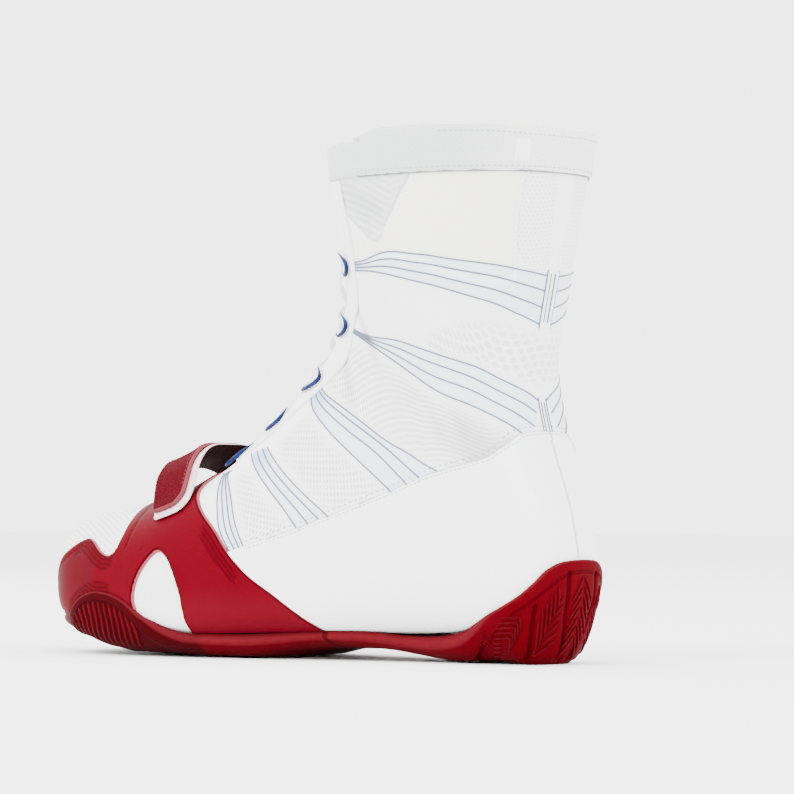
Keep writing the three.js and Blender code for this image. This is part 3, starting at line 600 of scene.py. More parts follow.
def find_places(view, goals, rows, turn, surface=form_offset, offset=0.0):
    """Rows and angles of the points that a view, such as the side, shows at each goal."""
    def seen(t, angle):
        return view(surface(t, angle, np.full(t.shape, offset)))

    goals = np.asarray(goals, float)
    t, angle = (array.ravel() for array in np.meshgrid(
        np.linspace(*rows, 150), np.radians(np.linspace(*turn, 110)), indexing="ij"))
    table = seen(t, angle)
    nearest = [int(np.argmin(((table - goal) ** 2).sum(1))) for goal in goals]
    t, angle = t[nearest], angle[nearest]
    for _ in range(5):
        here = seen(t, angle)
        by_row = (seen(t + 1e-3, angle) - here) / 1e-3
        by_turn = (seen(t, angle + 1e-3) - here) / 1e-3
        miss = goals - here
        cross = by_row[:, 0] * by_turn[:, 1] - by_row[:, 1] * by_turn[:, 0]
        cross = np.where(np.abs(cross) < 1e-6, 1e-6, cross)
        t = t + np.clip((miss[:, 0] * by_turn[:, 1] - miss[:, 1] * by_turn[:, 0]) / cross, -0.05, 0.05)
        angle = angle + np.clip((by_row[:, 0] * miss[:, 1] - by_row[:, 1] * miss[:, 0]) / cross, -0.03, 0.03)
    return t, angle


def from_side(p):
    return p[..., [0, 2]]


def from_front(p):
    return p[..., [1, 2]]


def even_line(points, step):
    """The same line with points a step apart."""
    points = np.asarray(points, float)
    length = np.concatenate([[0], np.cumsum(np.linalg.norm(np.diff(points, axis=0), axis=1))])
    count = max(int(round(length[-1] / step)), 2)
    places = np.linspace(0, length[-1], count + 1)
    return np.stack([np.interp(places, length, points[:, k]) for k in range(points.shape[1])], 1)


# Geometry node trees for what follows a line: round cords and ribs, and stitches

def socket_of(tree, name):
    return next(item.identifier for item in tree.interface.items_tree if item.name == name)


def line_tree(name, sizes):
    """A tree with a geometry input, sizes in metres, a material and an output."""
    tree = bpy.data.node_groups.new(name, "GeometryNodeTree")
    tree.interface.new_socket("Geometry", in_out="INPUT", socket_type="NodeSocketGeometry")
    for size, value in sizes.items():
        tree.interface.new_socket(size, in_out="INPUT", socket_type="NodeSocketFloat").default_value = value
    tree.interface.new_socket("Finish", in_out="INPUT", socket_type="NodeSocketMaterial")
    tree.interface.new_socket("Geometry", in_out="OUTPUT", socket_type="NodeSocketGeometry")
    return tree, tree.nodes.new("NodeGroupInput"), tree.nodes.new("NodeGroupOutput")


def cord_tree():
    tree, given, result = line_tree("cord_along_line", {"Radius": 0.001, "Step": 0.002})
    to_curve = tree.nodes.new("GeometryNodeMeshToCurve")
    resample = tree.nodes.new("GeometryNodeResampleCurve")
    resample.mode = "LENGTH"
    widen = tree.nodes.new("GeometryNodeSetCurveRadius")
    share = tree.nodes.new("GeometryNodeInputNamedAttribute")
    share.data_type = "FLOAT"
    share.inputs["Name"].default_value = "share"
    circle = tree.nodes.new("GeometryNodeCurvePrimitiveCircle")
    circle.inputs["Resolution"].default_value = 8
    sweep = tree.nodes.new("GeometryNodeCurveToMesh")
    sweep.inputs["Fill Caps"].default_value = True
    smooth = tree.nodes.new("GeometryNodeSetShadeSmooth")
    realize = tree.nodes.new("GeometryNodeRealizeInstances")
    finish = tree.nodes.new("GeometryNodeSetMaterial")
    link = tree.links.new
    link(given.outputs["Geometry"], to_curve.inputs["Mesh"])
    link(to_curve.outputs["Curve"], resample.inputs["Curve"])
    link(given.outputs["Step"], resample.inputs["Length"])
    link(resample.outputs["Curve"], widen.inputs["Curve"])
    link(share.outputs["Attribute"], widen.inputs["Radius"])
    link(widen.outputs["Curve"], sweep.inputs["Curve"])
    link(given.outputs["Radius"], circle.inputs["Radius"])
    link(circle.outputs["Curve"], sweep.inputs["Profile Curve"])
    if "Scale" in sweep.inputs:
        link(share.outputs["Attribute"], sweep.inputs["Scale"])
    link(sweep.outputs["Mesh"], smooth.inputs["Geometry"])
    link(smooth.outputs["Geometry"], realize.inputs["Geometry"])
    link(realize.outputs["Geometry"], finish.inputs["Geometry"])
    link(given.outputs["Finish"], finish.inputs["Material"])
    link(finish.outputs["Geometry"], result.inputs["Geometry"])
    return tree


def stitch_tree():
    tree, given, result = line_tree(
        "stitches_along_line", {"Pitch": 0.003, "Length": 0.001, "Thickness": 0.0003})
    to_curve = tree.nodes.new("GeometryNodeMeshToCurve")
    points = tree.nodes.new("GeometryNodeCurveToPoints")
    points.mode = "LENGTH"
    turn = tree.nodes.new("FunctionNodeAlignRotationToVector")
    turn.axis = "X"
    ball = tree.nodes.new("GeometryNodeMeshIcoSphere")
    ball.inputs["Radius"].default_value = 1
    ball.inputs["Subdivisions"].default_value = 2
    size = tree.nodes.new("ShaderNodeCombineXYZ")
    place = tree.nodes.new("GeometryNodeInstanceOnPoints")
    realize = tree.nodes.new("GeometryNodeRealizeInstances")
    smooth = tree.nodes.new("GeometryNodeSetShadeSmooth")
    finish = tree.nodes.new("GeometryNodeSetMaterial")
    link = tree.links.new
    link(given.outputs["Geometry"], to_curve.inputs["Mesh"])
    link(to_curve.outputs["Curve"], points.inputs["Curve"])
    link(given.outputs["Pitch"], points.inputs["Length"])
    link(points.outputs["Tangent"], turn.inputs["Vector"])
    link(points.outputs["Points"], place.inputs["Points"])
    link(ball.outputs["Mesh"], place.inputs["Instance"])
    link(turn.outputs["Rotation"], place.inputs["Rotation"])
    link(given.outputs["Length"], size.inputs["X"])
    link(given.outputs["Thickness"], size.inputs["Y"])
    link(given.outputs["Thickness"], size.inputs["Z"])
    link(size.outputs["Vector"], place.inputs["Scale"])
    link(place.outputs["Instances"], realize.inputs["Geometry"])
    link(realize.outputs["Geometry"], smooth.inputs["Geometry"])
    link(smooth.outputs["Geometry"], finish.inputs["Geometry"])
    link(given.outputs["Finish"], finish.inputs["Material"])
    link(finish.outputs["Geometry"], result.inputs["Geometry"])
    return tree


CORDS = cord_tree()
STITCHES = stitch_tree()


def along_lines(name, tree, lines, finish, taper=0.0, **sizes):
    """A piece made by a tree along lines of points in millimetres. A tapered line thins at its ends."""
    points, edges, shares = [], [], []
    for line in lines:
        start = len(points)
        points += (np.asarray(line) * MM).tolist()
        edges += [(start + i, start + i + 1) for i in range(len(line) - 1)]
        place = np.linspace(0, 1, len(line))
        ends = np.minimum(place, 1 - place) / max(taper, 1e-6)
        shares += list(0.25 + 0.75 * smoothstep(ends, 0, 1)) if taper else [1.0] * len(line)
    mesh = bpy.data.meshes.new(name + "_lines")
    mesh.from_pydata(points, edges, [])
    mesh.attributes.new("share", "FLOAT", "POINT").data.foreach_set("value", np.array(shares, np.float32))
    carrier = link_piece(name + "_lines", mesh)
    modifier = carrier.modifiers.new("made", "NODES")
    modifier.node_group = tree
    for size, value in sizes.items():
        modifier[socket_of(tree, size.capitalize())] = value * MM
    modifier[socket_of(tree, "Finish")] = looks[finish]
    made = bpy.data.meshes.new_from_object(carrier.evaluated_get(bpy.context.evaluated_depsgraph_get()))
    made.name = name
    bpy.data.objects.remove(carrier)
    piece = link_piece(name, made)
    finish_piece(piece, finish)
    return piece


def on_form(lines, offset, surface=form_offset):
    """Points over the form along lines of rows and angles."""
    return [surface(line[:, 0], line[:, 1], np.full(len(line), offset)) for line in lines]


def both_sides(lines):
    return [line * (1, side) for line in lines for side in (1, -1)]


def swept(lines, outward, width, thickness, sides=12):
    """Flat ribbons along lines of points, each point with its outward direction."""
    points, faces = [], []
    for line, out in zip(lines, outward):
        start = len(points)
        ahead = np.gradient(line, axis=0)
        ahead /= np.linalg.norm(ahead, axis=1, keepdims=True)
        side = np.cross(ahead, out)
        side /= np.linalg.norm(side, axis=1, keepdims=True)
        up = np.cross(side, ahead)
        turns = 2 * math.pi * np.arange(sides) / sides
        for p, s, u in zip(line, side, up):
            for turn in turns:
                c, v = math.cos(turn), math.sin(turn)
                across = math.copysign(abs(c) ** 0.6, c) * width / 2
                rise = math.copysign(abs(v) ** 0.8, v) * thickness / 2
                points.append(p + s * across + u * rise)
        rings = len(line)
        for i in range(rings - 1):
            for j in range(sides):
                a, b = start + i * sides + j, start + i * sides + (j + 1) % sides
                faces.append((a, b, b + sides, a + sides))
        faces.append(tuple(start + j for j in reversed(range(sides))))
        faces.append(tuple(start + (rings - 1) * sides + j for j in range(sides)))
    return points, faces


# Finishes

SOCKETS = {
    "coat_weight": "Coat Weight", "coat_roughness": "Coat Roughness", "sheen_weight": "Sheen Weight",
    "specular_ior_level": "Specular IOR Level",
}


class Finish:
    """A material whose colour, roughness and relief are built up in layers."""

    def __init__(self, name, colour, roughness, **sockets):
        self.look = bpy.data.materials.new(name)
        self.look.use_nodes = True
        self.tree = self.look.node_tree
        self.shader = self.tree.nodes["Principled BSDF"]
        self.colour = (*colour, 1)
        self.roughness = roughness
        self.relief = None
        for socket, value in sockets.items():
            self.shader.inputs[SOCKETS[socket]].default_value = value

    def add(self, kind, inputs=(), **settings):
        node = self.tree.nodes.new(kind)
        for key, value in settings.items():
            setattr(node, key, value)
        for key, value in inputs:
            if isinstance(value, bpy.types.NodeSocket):
                self.tree.links.new(value, node.inputs[key])
            else:
                node.inputs[key].default_value = value
        return node

    def value(self, name):
        return self.add("ShaderNodeAttribute", attribute_name=name).outputs["Fac"]

    def math(self, operation, *values):
        return self.add("ShaderNodeMath", list(enumerate(values)), operation=operation).outputs[0]

    def ramp(self, value, low, high, start=0.0, end=1.0):
        inputs = [("Value", value), ("From Min", low), ("From Max", high), ("To Min", start), ("To Max", end)]
        return self.add("ShaderNodeMapRange", inputs, interpolation_type="SMOOTHSTEP").outputs["Result"]

    def line(self, value, centre, half, soft=0.25):
        """One on a line of the value, nothing away from it."""
        away = self.math("ABSOLUTE", self.math("SUBTRACT", value, centre))
        return self.ramp(away, half, half + soft, 1.0, 0.0)

    def noise(self, scale, detail=2.0):
        """Grain, its scale in grains a metre."""
        place = self.add("ShaderNodeTexCoord").outputs["Object"]
        inputs = [("Vector", place), ("Scale", scale), ("Detail", detail)]
        return self.add("ShaderNodeTexNoise", inputs).outputs[0]

    def cell(self, across, down):
        """How far a place on the cloth lies from the middle of its cell, cells set like bricks."""
        row = self.math("DIVIDE", self.value("along"), down)
        shift = self.math("MULTIPLY", self.math("FLOORED_MODULO", self.math("FLOOR", row), 2.0), 0.5)
        column = self.math("ADD", self.math("DIVIDE", self.value("around"), across), shift)
        x = self.math("SUBTRACT", self.math("FRACT", column), 0.5)
        y = self.math("SUBTRACT", self.math("FRACT", row), 0.5)
        return self.math("SQRT", self.math("ADD", self.math("POWER", x, 2.0), self.math("POWER", y, 2.0)))

    def both(self, *values):
        product = values[0]
        for value in values[1:]:
            product = self.math("MULTIPLY", product, value)
        return product

    def paint(self, share, colour):
        inputs = [(0, share), (6, self.colour), (7, (*colour, 1))]
        mix = self.add("ShaderNodeMix", inputs, data_type="RGBA")
        self.colour = mix.outputs[2]
        return self

    def shine(self, share, roughness):
        inputs = [(0, share), (2, self.roughness), (3, roughness)]
        self.roughness = self.add("ShaderNodeMix", inputs, data_type="FLOAT").outputs[0]
        return self

    def lift(self, share, height):
        """Raises the surface by height, in millimetres, or sinks it."""
        step = self.math("MULTIPLY", share, height)
        self.relief = step if self.relief is None else self.math("ADD", self.relief, step)
        return self

    def under_strap(self):
        """Paints shade: a dark maroon painted shadow on what lies toe-ward of the strap's ankle edge, in the gap
        between the strap and the instep.
        """
        split = self.add("ShaderNodeSeparateXYZ", [(0, self.add("ShaderNodeTexCoord").outputs["Object"])])
        ankle_edge = form_points(np.array([STRAP_ANKLE_ROW]), np.zeros(1))[0, 0] * MM
        return self.paint(self.ramp(split.outputs["X"], ankle_edge - 2 * MM, ankle_edge + MM), STRAP_SHADE_MAROON)

    def done(self):
        for socket, value in [("Base Color", self.colour), ("Roughness", self.roughness)]:
            if isinstance(value, bpy.types.NodeSocket):
                self.tree.links.new(value, self.shader.inputs[socket])
            else:
                self.shader.inputs[socket].default_value = value
        if self.relief is not None:
            inputs = [("Height", self.relief), ("Distance", MM), ("Strength", 1.0)]
            bump = self.add("ShaderNodeBump", inputs)
            self.tree.links.new(bump.outputs["Normal"], self.shader.inputs["Normal"])
        return self.look


WHITE = (0.86, 0.86, 0.855)
RED = (0.085, 0.0006, 0.005)
# Painted shade: the dark maroon of the strap's shadow
STRAP_SHADE_MAROON = (0.03, 0.0008, 0.0025)


def upper_cloth():
    cloth = Finish("upper_knit", WHITE, 0.72, sheen_weight=0.15)
    grain = cloth.noise(900, 3)
    cloth.paint(cloth.ramp(cloth.noise(14, 2), 0.35, 0.7), (0.83, 0.83, 0.815))
    cloth.paint(cloth.ramp(cloth.value("ivory"), -1.5, 3), (0.86, 0.865, 0.7))
    film = cloth.ramp(cloth.value("film"), -0.4, 0.5)
    cloth.paint(cloth.both(film, 0.8), (0.6, 0.7, 0.82))
    loop_glow = cloth.ramp(cloth.value("apex"), 3, 16, 0.65, 0.0)
    cloth.paint(cloth.both(film, loop_glow), (0.12, 0.22, 0.6))
    patch = cloth.ramp(cloth.value("patch"), -0.5, 0.8)
    cloth.paint(patch, (0.66, 0.67, 0.67))
    holes = cloth.ramp(cloth.cell(1.7, 1.5), 0.16, 0.3, 1.0, 0.0)
    net = cloth.ramp(cloth.math("MAXIMUM", cloth.value("net"), cloth.value("toe_net")), -1.5, 3.5)
    fine_net = cloth.both(cloth.ramp(cloth.cell(2.6, 2.0), 0.2, 0.36, 1.0, 0.0), net)
    comb = cloth.both(cloth.ramp(cloth.cell(5.4, 3.6), 0.24, 0.42, 1.0, 0.0),
                      cloth.ramp(cloth.value("comb"), -1, 2.5))
    ladder = cloth.both(cloth.ramp(cloth.cell(2.4, 1.9), 0.2, 0.4, 1.0, 0.0),
                        cloth.ramp(cloth.value("back_comb"), -0.8, 1))
    pinholes = cloth.both(holes, patch)
    cloth.paint(cloth.both(fine_net, 0.6), (0.36, 0.37, 0.37))
    cloth.paint(cloth.both(comb, 0.45), (0.4, 0.41, 0.41))
    cloth.paint(cloth.both(pinholes, 0.2), (0.4, 0.4, 0.4))
    cloth.paint(cloth.both(ladder, 0.35), (0.45, 0.46, 0.45))
    cloth.paint(cloth.both(cloth.line(cloth.value("patch"), 0.6, 0.25, 0.3), 0.5), (0.4, 0.41, 0.41))
    cloth.paint(cloth.both(cloth.line(cloth.value("ivory"), 0.4, 0.3, 0.4), 0.5), (0.9, 0.9, 0.88))
    # Painted shade in the creases
    cloth.paint(cloth.ramp(cloth.value("crease"), 0.04, 0.6, 0.0, 0.5), (0.4, 0.41, 0.42))
    # Painted shade under the strap
    cloth.paint(cloth.ramp(cloth.value("hollow"), -0.4, 0.4), STRAP_SHADE_MAROON)
    # Painted shade: the upper's inner face a darker grey
    cloth.paint(cloth.value("inside"), (0.3, 0.305, 0.31))
    knit = cloth.ramp(cloth.cell(1.0, 0.75), 0.1, 0.6)
    cloth.lift(cloth.both(knit, cloth.ramp(film, 0, 1, 1.0, 0.1)), 0.05).lift(grain, 0.04)
    cloth.lift(fine_net, -0.3).lift(comb, -0.34).lift(pinholes, -0.22).lift(ladder, -0.26)
    cloth.lift(cloth.line(cloth.value("ivory"), 0.4, 0.5, 0.6), -0.25).lift(film, 0.12)
    cloth.shine(film, 0.35)
    return cloth.done()


def quarter_gloss():
    skin = Finish("quarter_gloss", (0.87, 0.875, 0.88), 0.24, coat_weight=0.35, coat_roughness=0.15)
    skin.paint(skin.ramp(skin.noise(9, 2), 0.4, 0.75), (0.84, 0.85, 0.865))
    edge = skin.value("edge")
    # Painted shade: darker along the panel's rounded edge
    skin.paint(skin.ramp(edge, 0.1, 0.7, 0.5, 0.0), (0.3, 0.31, 0.33))
    skin.paint(skin.both(skin.line(skin.value("seam"), 0, 0.25, 0.35), 0.7), (0.25, 0.26, 0.28))
    skin.shine(skin.ramp(skin.noise(55, 3), 0.45, 0.8), 0.34)
    skin.lift(skin.noise(420, 2), 0.05).lift(skin.noise(45, 2), 0.35)
    skin.lift(skin.line(skin.value("seam"), 0, 0.3, 0.7), -0.5)
    return skin.done()


def wrap_red():
    skin = Finish("wrap_satin", RED, 0.4, specular_ior_level=0.008)
    edge = skin.value("edge")
    skin.paint(skin.ramp(skin.noise(22, 3), 0.3, 0.75), (0.078, 0.0005, 0.0045))
    lobe = skin.both(skin.ramp(edge, 3.9, 4.4), skin.ramp(skin.value("toe"), -1, 2))
    skin.paint(skin.both(lobe, 0.7), (0.062, 0.004, 0.008))
    skin.paint(skin.both(skin.ramp(skin.value("low"), 0, 14), 0.5), (0.095, 0.004, 0.009))
    # Painted shade in the pressed lines
    skin.paint(skin.both(skin.value("line"), 0.75), (0.035, 0.0007, 0.002))
    # Painted shade along the groove inside the edge
    skin.paint(skin.line(edge, 1.15, 0.15, 0.35), (0.045, 0.0008, 0.002))
    skin.paint(skin.ramp(edge, 0.45, 0.85, 0.6, 0.0), (0.34, 0.1, 0.11))
    skin.shine(skin.ramp(skin.noise(60, 3), 0.35, 0.8), 0.46)
    skin.lift(skin.noise(1500, 2), 0.03).lift(skin.noise(40, 2), 0.3)
    skin.lift(skin.line(edge, 1.15, 0.15, 0.5), -0.25)
    return skin.done()


def sole_rubber():
    rubber = Finish("sole_rubber", (0.066, 0.0006, 0.003), 0.45, specular_ior_level=0.008)
    rubber.paint(rubber.ramp(rubber.noise(16, 3), 0.3, 0.75), (0.055, 0.0004, 0.0022))
    edge = rubber.value("edge")
    # Painted shade: the forefoot with its fins darker
    rubber.paint(rubber.both(rubber.ramp(rubber.value("forefoot"), -2, 2), 0.9), (0.028, 0.0004, 0.0016))
    rubber.paint(rubber.ramp(edge, 0.2, 0.9, 0.4, 0.0), (0.13, 0.012, 0.018))
    # Painted shade in the ledge, the grooves and the tread
    ledge = rubber.line(edge, 4.2, 0.2, 0.4)
    rubber.paint(rubber.both(ledge, 0.4), (0.02, 0.0003, 0.0008))
    groove = rubber.ramp(rubber.value("groove"), 0.75, 1.15, 1.0, 0.0)
    rubber.paint(rubber.both(groove, 0.65), (0.02, 0.0003, 0.0008))
    tread = rubber.ramp(rubber.value("tread"), 0.9, 1.2, 1.0, 0.0)
    rubber.paint(rubber.both(tread, 0.5), (0.02, 0.0004, 0.0008))
    rubber.lift(groove, -0.2).lift(ledge, -0.4).lift(rubber.noise(1300, 2), 0.04)
    rubber.shine(rubber.ramp(rubber.noise(70, 3), 0.4, 0.8), 0.55)
    return rubber.done()


def rib_rubber():
    rubber = Finish("rib_rubber", (0.06, 0.0008, 0.003), 0.45, specular_ior_level=0.02)
    rubber.paint(rubber.ramp(rubber.noise(150, 2), 0.35, 0.7), (0.045, 0.0005, 0.002))
    return rubber.lift(rubber.noise(1500, 2), 0.03).done()


def strap_weave():
    web = Finish("strap_weave", (0.06, 0.0007, 0.004), 0.7, specular_ior_level=0.01)
    thread = web.ramp(web.cell(1.1, 0.9), 0.15, 0.55)
    web.paint(web.both(web.ramp(thread, 0, 1, 1.0, 0.0), 0.35), (0.085, 0.003, 0.008))
    web.paint(web.both(web.ramp(thread, 0.5, 1), 0.5), (0.04, 0.0005, 0.0025))
    web.paint(web.ramp(web.value("edge"), 0.5, 1.1, 0.5, 0.0), (0.26, 0.07, 0.085))
    # Painted shade: the strap's underside darker
    web.paint(web.value("inside"), (0.015, 0.0003, 0.001))
    web.lift(thread, -0.22).lift(web.line(web.value("edge"), 1.6, 0.2, 0.4), -0.3)
    return web.done()


def backing_pile():
    pile = Finish("backing_pile", (0.66, 0.42, 0.43), 0.9, specular_ior_level=0.05)
    pile.paint(pile.ramp(pile.noise(260, 3), 0.4, 0.7), (0.8, 0.6, 0.6))
    # Painted shade: the backing's underside nearly black
    pile.paint(pile.value("inside"), (0.012, 0.0006, 0.0015))
    return pile.lift(pile.noise(1400, 3), 0.25).done()


def cuff_knit():
    knit = Finish("cuff_knit", (0.62, 0.63, 0.635), 0.85, sheen_weight=0.1)
    # Painted light and shade: the band a shaded grey at the front, lit white towards the back
    knit.paint(knit.ramp(knit.value("turn"), 118, 158), (0.87, 0.87, 0.86))
    thread = knit.ramp(knit.cell(1.5, 1.2), 0.12, 0.55)
    knit.paint(knit.both(thread, 0.35), (0.48, 0.49, 0.5))
    rib = knit.math("SINE", knit.math("MULTIPLY", knit.value("around"), 2.6))
    knit.lift(thread, -0.2).lift(rib, 0.06).lift(knit.noise(1200, 2), 0.08)
    return knit.done()


def tongue_cloth():
    cloth = Finish("tongue_cloth", (0.84, 0.84, 0.835), 0.85, sheen_weight=0.3)
    holes = cloth.ramp(cloth.cell(2.4, 2.0), 0.16, 0.32, 1.0, 0.0)
    cloth.paint(cloth.both(holes, 0.5), (0.6, 0.61, 0.62))
    # Painted shade: the tongue's inner face darker grey
    cloth.paint(cloth.value("inside"), (0.62, 0.63, 0.63))
    # Painted shade under the strap
    cloth.under_strap()
    return cloth.lift(holes, -0.3).lift(cloth.noise(1100, 2), 0.06).done()


def insole_cloth():
    cloth = Finish("insole_cloth", (0.62, 0.62, 0.61), 0.9, sheen_weight=0.2)
    cloth.paint(cloth.ramp(cloth.noise(300, 3), 0.4, 0.7), (0.7, 0.7, 0.69))
    return cloth.lift(cloth.noise(1500, 2), 0.15).done()


def eyestay_skin():
    skin = Finish("eyestay_skin", (0.84, 0.84, 0.83), 0.5, coat_weight=0.1)
    # Painted shade: darker along the strip's rounded edge
    skin.paint(skin.ramp(skin.value("edge"), 0.2, 0.7, 0.45, 0.0), (0.6, 0.61, 0.62))
    # Painted shade under the strap
    return skin.under_strap().lift(skin.noise(700, 3), 0.07).done()


def lace_weave():
    weave = Finish("lace_weave", (0.88, 0.88, 0.87), 0.8, sheen_weight=0.2)
    grain = weave.noise(1500, 2)
    weave.paint(weave.ramp(grain, 0.45, 0.7), (0.78, 0.78, 0.78))
    return weave.lift(grain, 0.15).done()


def loop_cord():
    cord = Finish("loop_cord", (0.003, 0.012, 0.1), 0.5, specular_ior_level=0.12)
    cord.paint(cord.ramp(cord.noise(260, 2), 0.4, 0.65), (0.002, 0.006, 0.04))
    return cord.lift(cord.noise(1800, 2), 0.12).done()


def thread(name, light, dark, roughness=0.7):
    cord = Finish(name, light, roughness)
    return cord.paint(cord.ramp(cord.noise(1200, 2), 0.35, 0.7), dark).done()


def floor_white():
    paper = Finish("floor_paper", (0.9, 0.9, 0.9), 0.9)
    return paper.paint(paper.ramp(paper.noise(3, 2), 0.3, 0.8), (0.885, 0.885, 0.885)).done()


looks = {
    "upper": upper_cloth(),
    "quarter": quarter_gloss(),
    "wrap": wrap_red(),
    "sole": sole_rubber(),
    "ribs": rib_rubber(),
    "strap": strap_weave(),
    "backing": backing_pile(),
    "cuff": cuff_knit(),
    "tongue": tongue_cloth(),
    "insole": insole_cloth(),
    "eyestay": eyestay_skin(),
    "lace": lace_weave(),
    "loop": loop_cord(),
    "cable": thread("cable_grey_blue", (0.06, 0.075, 0.13), (0.08, 0.1, 0.17), 0.4),
    "seam": thread("seam_grey", (0.13, 0.135, 0.145), (0.2, 0.205, 0.215)),
    "stitch": thread("stitch_white", (0.88, 0.88, 0.87), (0.76, 0.77, 0.78)),
    "stitch_grey": thread("stitch_grey", (0.34, 0.345, 0.36), (0.42, 0.425, 0.44)),
    "stitch_red": thread("stitch_red", (0.05, 0.003, 0.006), (0.08, 0.005, 0.009)),
    "tab": thread("tab_satin", (0.9, 0.9, 0.89), (0.84, 0.84, 0.84), 0.45),
}


def finish_piece(piece, look, *nodes):
    """Rides a piece on the boot, gives it its finish and hides the nodes that it stands for."""
    piece.data.materials.clear()
    piece.data.materials.append(looks[look])
    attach(piece, "root")
    if nodes:
        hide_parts(*nodes)
    return piece


TOP_ROW = LAST_ROW

# Upper with its zones of cloth: rows and degrees from the front, the same on both sides

IVORY = [(17.3, 149), (16.35, 151), (15.95, 153), (15.75, 152), (15.6, 120), (15.5, 100), (15.2, 84),
              (15.0, 76), (15.4, 79), (15.85, 90), (16.24, 96), (16.51, 101), (17.3, 106)]
PATCH = [(17.3, 30), (17.3, 110), (16.51, 101), (16.24, 96), (15.85, 90), (15.41, 83), (15.5, 60), (15.4, 30)]
BACK_COMB = [(17.3, 151), (17.3, 172), (16.36, 173), (15.99, 177), (15.9, 168), (16.0, 153), (16.35, 151)]
COMB = [(14.32, 108), (14.8, 117), (15.12, 128), (15.31, 141.5), (15.36, 155), (15.37, 169), (15.24, 185),
        (14.75, 185), (14.72, 170), (14.72, 151), (14.65, 132), (14.16, 107)]
NETS = [
    [(11.3, 46), (12.3, 66), (12.9, 85), (13.35, 108), (13.75, 129), (13.9, 150), (13.6, 150), (12.4, 110),
     (11.3, 84), (10.45, 70), (9.9, 58), (9.5, 46), (9.6, 40)],
    [(8.95, 45), (9.25, 60), (9.6, 72), (9.95, 84), (8.95, 82), (8.65, 71), (8.45, 61), (8.2, 50), (8.3, 42)],
    [(7.7, 47), (8.0, 62), (8.2, 72), (8.3, 80), (7.7, 79), (7.55, 69), (7.4, 54), (7.25, 42)],
]
# Creases of the cloth, sunk into the shape and darkened with painted shade: rows and degrees of both ends, width
# and depth in millimetres
CREASES = [
    [(16.05, 62), (15.95, 84), 2.6, 0.5],
    [(15.75, 60), (15.72, 78), 2.2, 0.35],
    [(12.7, 48), (12.2, 62), 4.0, 0.5],
    [(10.4, 42), (10.1, 55), 4.0, 0.5],
    [(13.2, 118), (13.55, 150), 5.0, 0.5],
    [(12.6, 100), (13.0, 128), 5.0, 0.35],
    [(1.6, 30), (1.85, 62), 1.4, 0.55],
    [(2.1, 28), (2.3, 52), 1.3, 0.55],
    [(2.6, 20), (2.65, 46), 1.4, 0.5],
    [(3.1, 14), (2.9, 34), 1.6, 0.4],
]
FANS = [
    ([(14.23, 60.8), (15.3, 86), (15.64, 106), (15.78, 123.5), (15.87, 142), (15.89, 160), (15.88, 174.5)],
     [(14.05, 62), (14.88, 83), (15.34, 110.5), (15.51, 139.5), (15.49, 160), (15.44, 174.5)]),
    ([(11.5, 42), (13.27, 78), (14.1, 106), (14.61, 132), (14.68, 151), (14.64, 167), (14.54, 176)],
     [(11.42, 42.5), (12.36, 63), (13.02, 84), (13.47, 107), (13.86, 128.5), (13.99, 148), (13.9, 163)]),
    ([(9.24, 36), (9.42, 45), (9.87, 57.5), (10.4, 69), (11.22, 83), (11.83, 99), (12.1, 106)],
     [(9.02, 31.5), (8.98, 35), (9.01, 44), (9.31, 58.5), (9.65, 71), (10.04, 85), (10.1, 91)]),
    ([(7.96, 40), (8.16, 50), (8.4, 61.5), (8.62, 71.5), (8.87, 82.5), (8.95, 87)],
     [(7.5, 33), (7.73, 45.5), (8.09, 62), (8.29, 72), (8.42, 81), (8.5, 86)]),
    ([(7.09, 35), (7.07, 38), (7.33, 53.5), (7.5, 69.5), (7.64, 80), (7.7, 85)],
     [(6.86, 32), (6.96, 43), (7.1, 57), (7.21, 68), (7.4, 79), (7.45, 84)]),
]
CABLE_SHARES = [0, 0.3, 0.64, 1]
CABLE_RADIUS = 0.34


def fan_lines(fan):
    """The cables of one fan, as rows and degrees."""
    high, low = (smooth_line(np.array(line) * (MM_A_ROW, MM_A_DEGREE), 8) for line in fan)
    count = 60
    lengths = [np.linalg.norm(np.diff(line, axis=0), axis=1).sum() for line in (high, low)]
    high, low = (even_line(line, length / count) for line, length in zip((high, low), lengths))
    return [(high + (low - high) * share) / (MM_A_ROW, MM_A_DEGREE) for share in CABLE_SHARES]


def crease_depth(grid):
    across, down = grid.chart()
    depth = np.zeros(grid.shape)
    for first, last, width, deep in CREASES:
        line = cloth_chart([first, last])
        depth += deep * np.exp(-(line_distance(across, down, line) / width) ** 2)
    return depth


shaft = Grid(250, 185, last=TOP_ROW)
in_throat = throat_field(shaft.points)
under_collar = collar_field(shaft.points)
cables = [fan_lines(fan) for fan in FANS]
film = np.full(shaft.shape, -50.0)
apex = np.full(shaft.shape, 50.0)
for lines in cables:
    film = np.maximum(film, shaft.zone([*lines[0][::3], *lines[-1][::-3]]))
    start = cloth_chart([(lines[0][0] + lines[-1][0]) / 2])[0]
    apex = np.minimum(apex, np.hypot(shaft.chart()[0] - start[0], shaft.chart()[1] - start[1]))
creases = crease_depth(shaft)
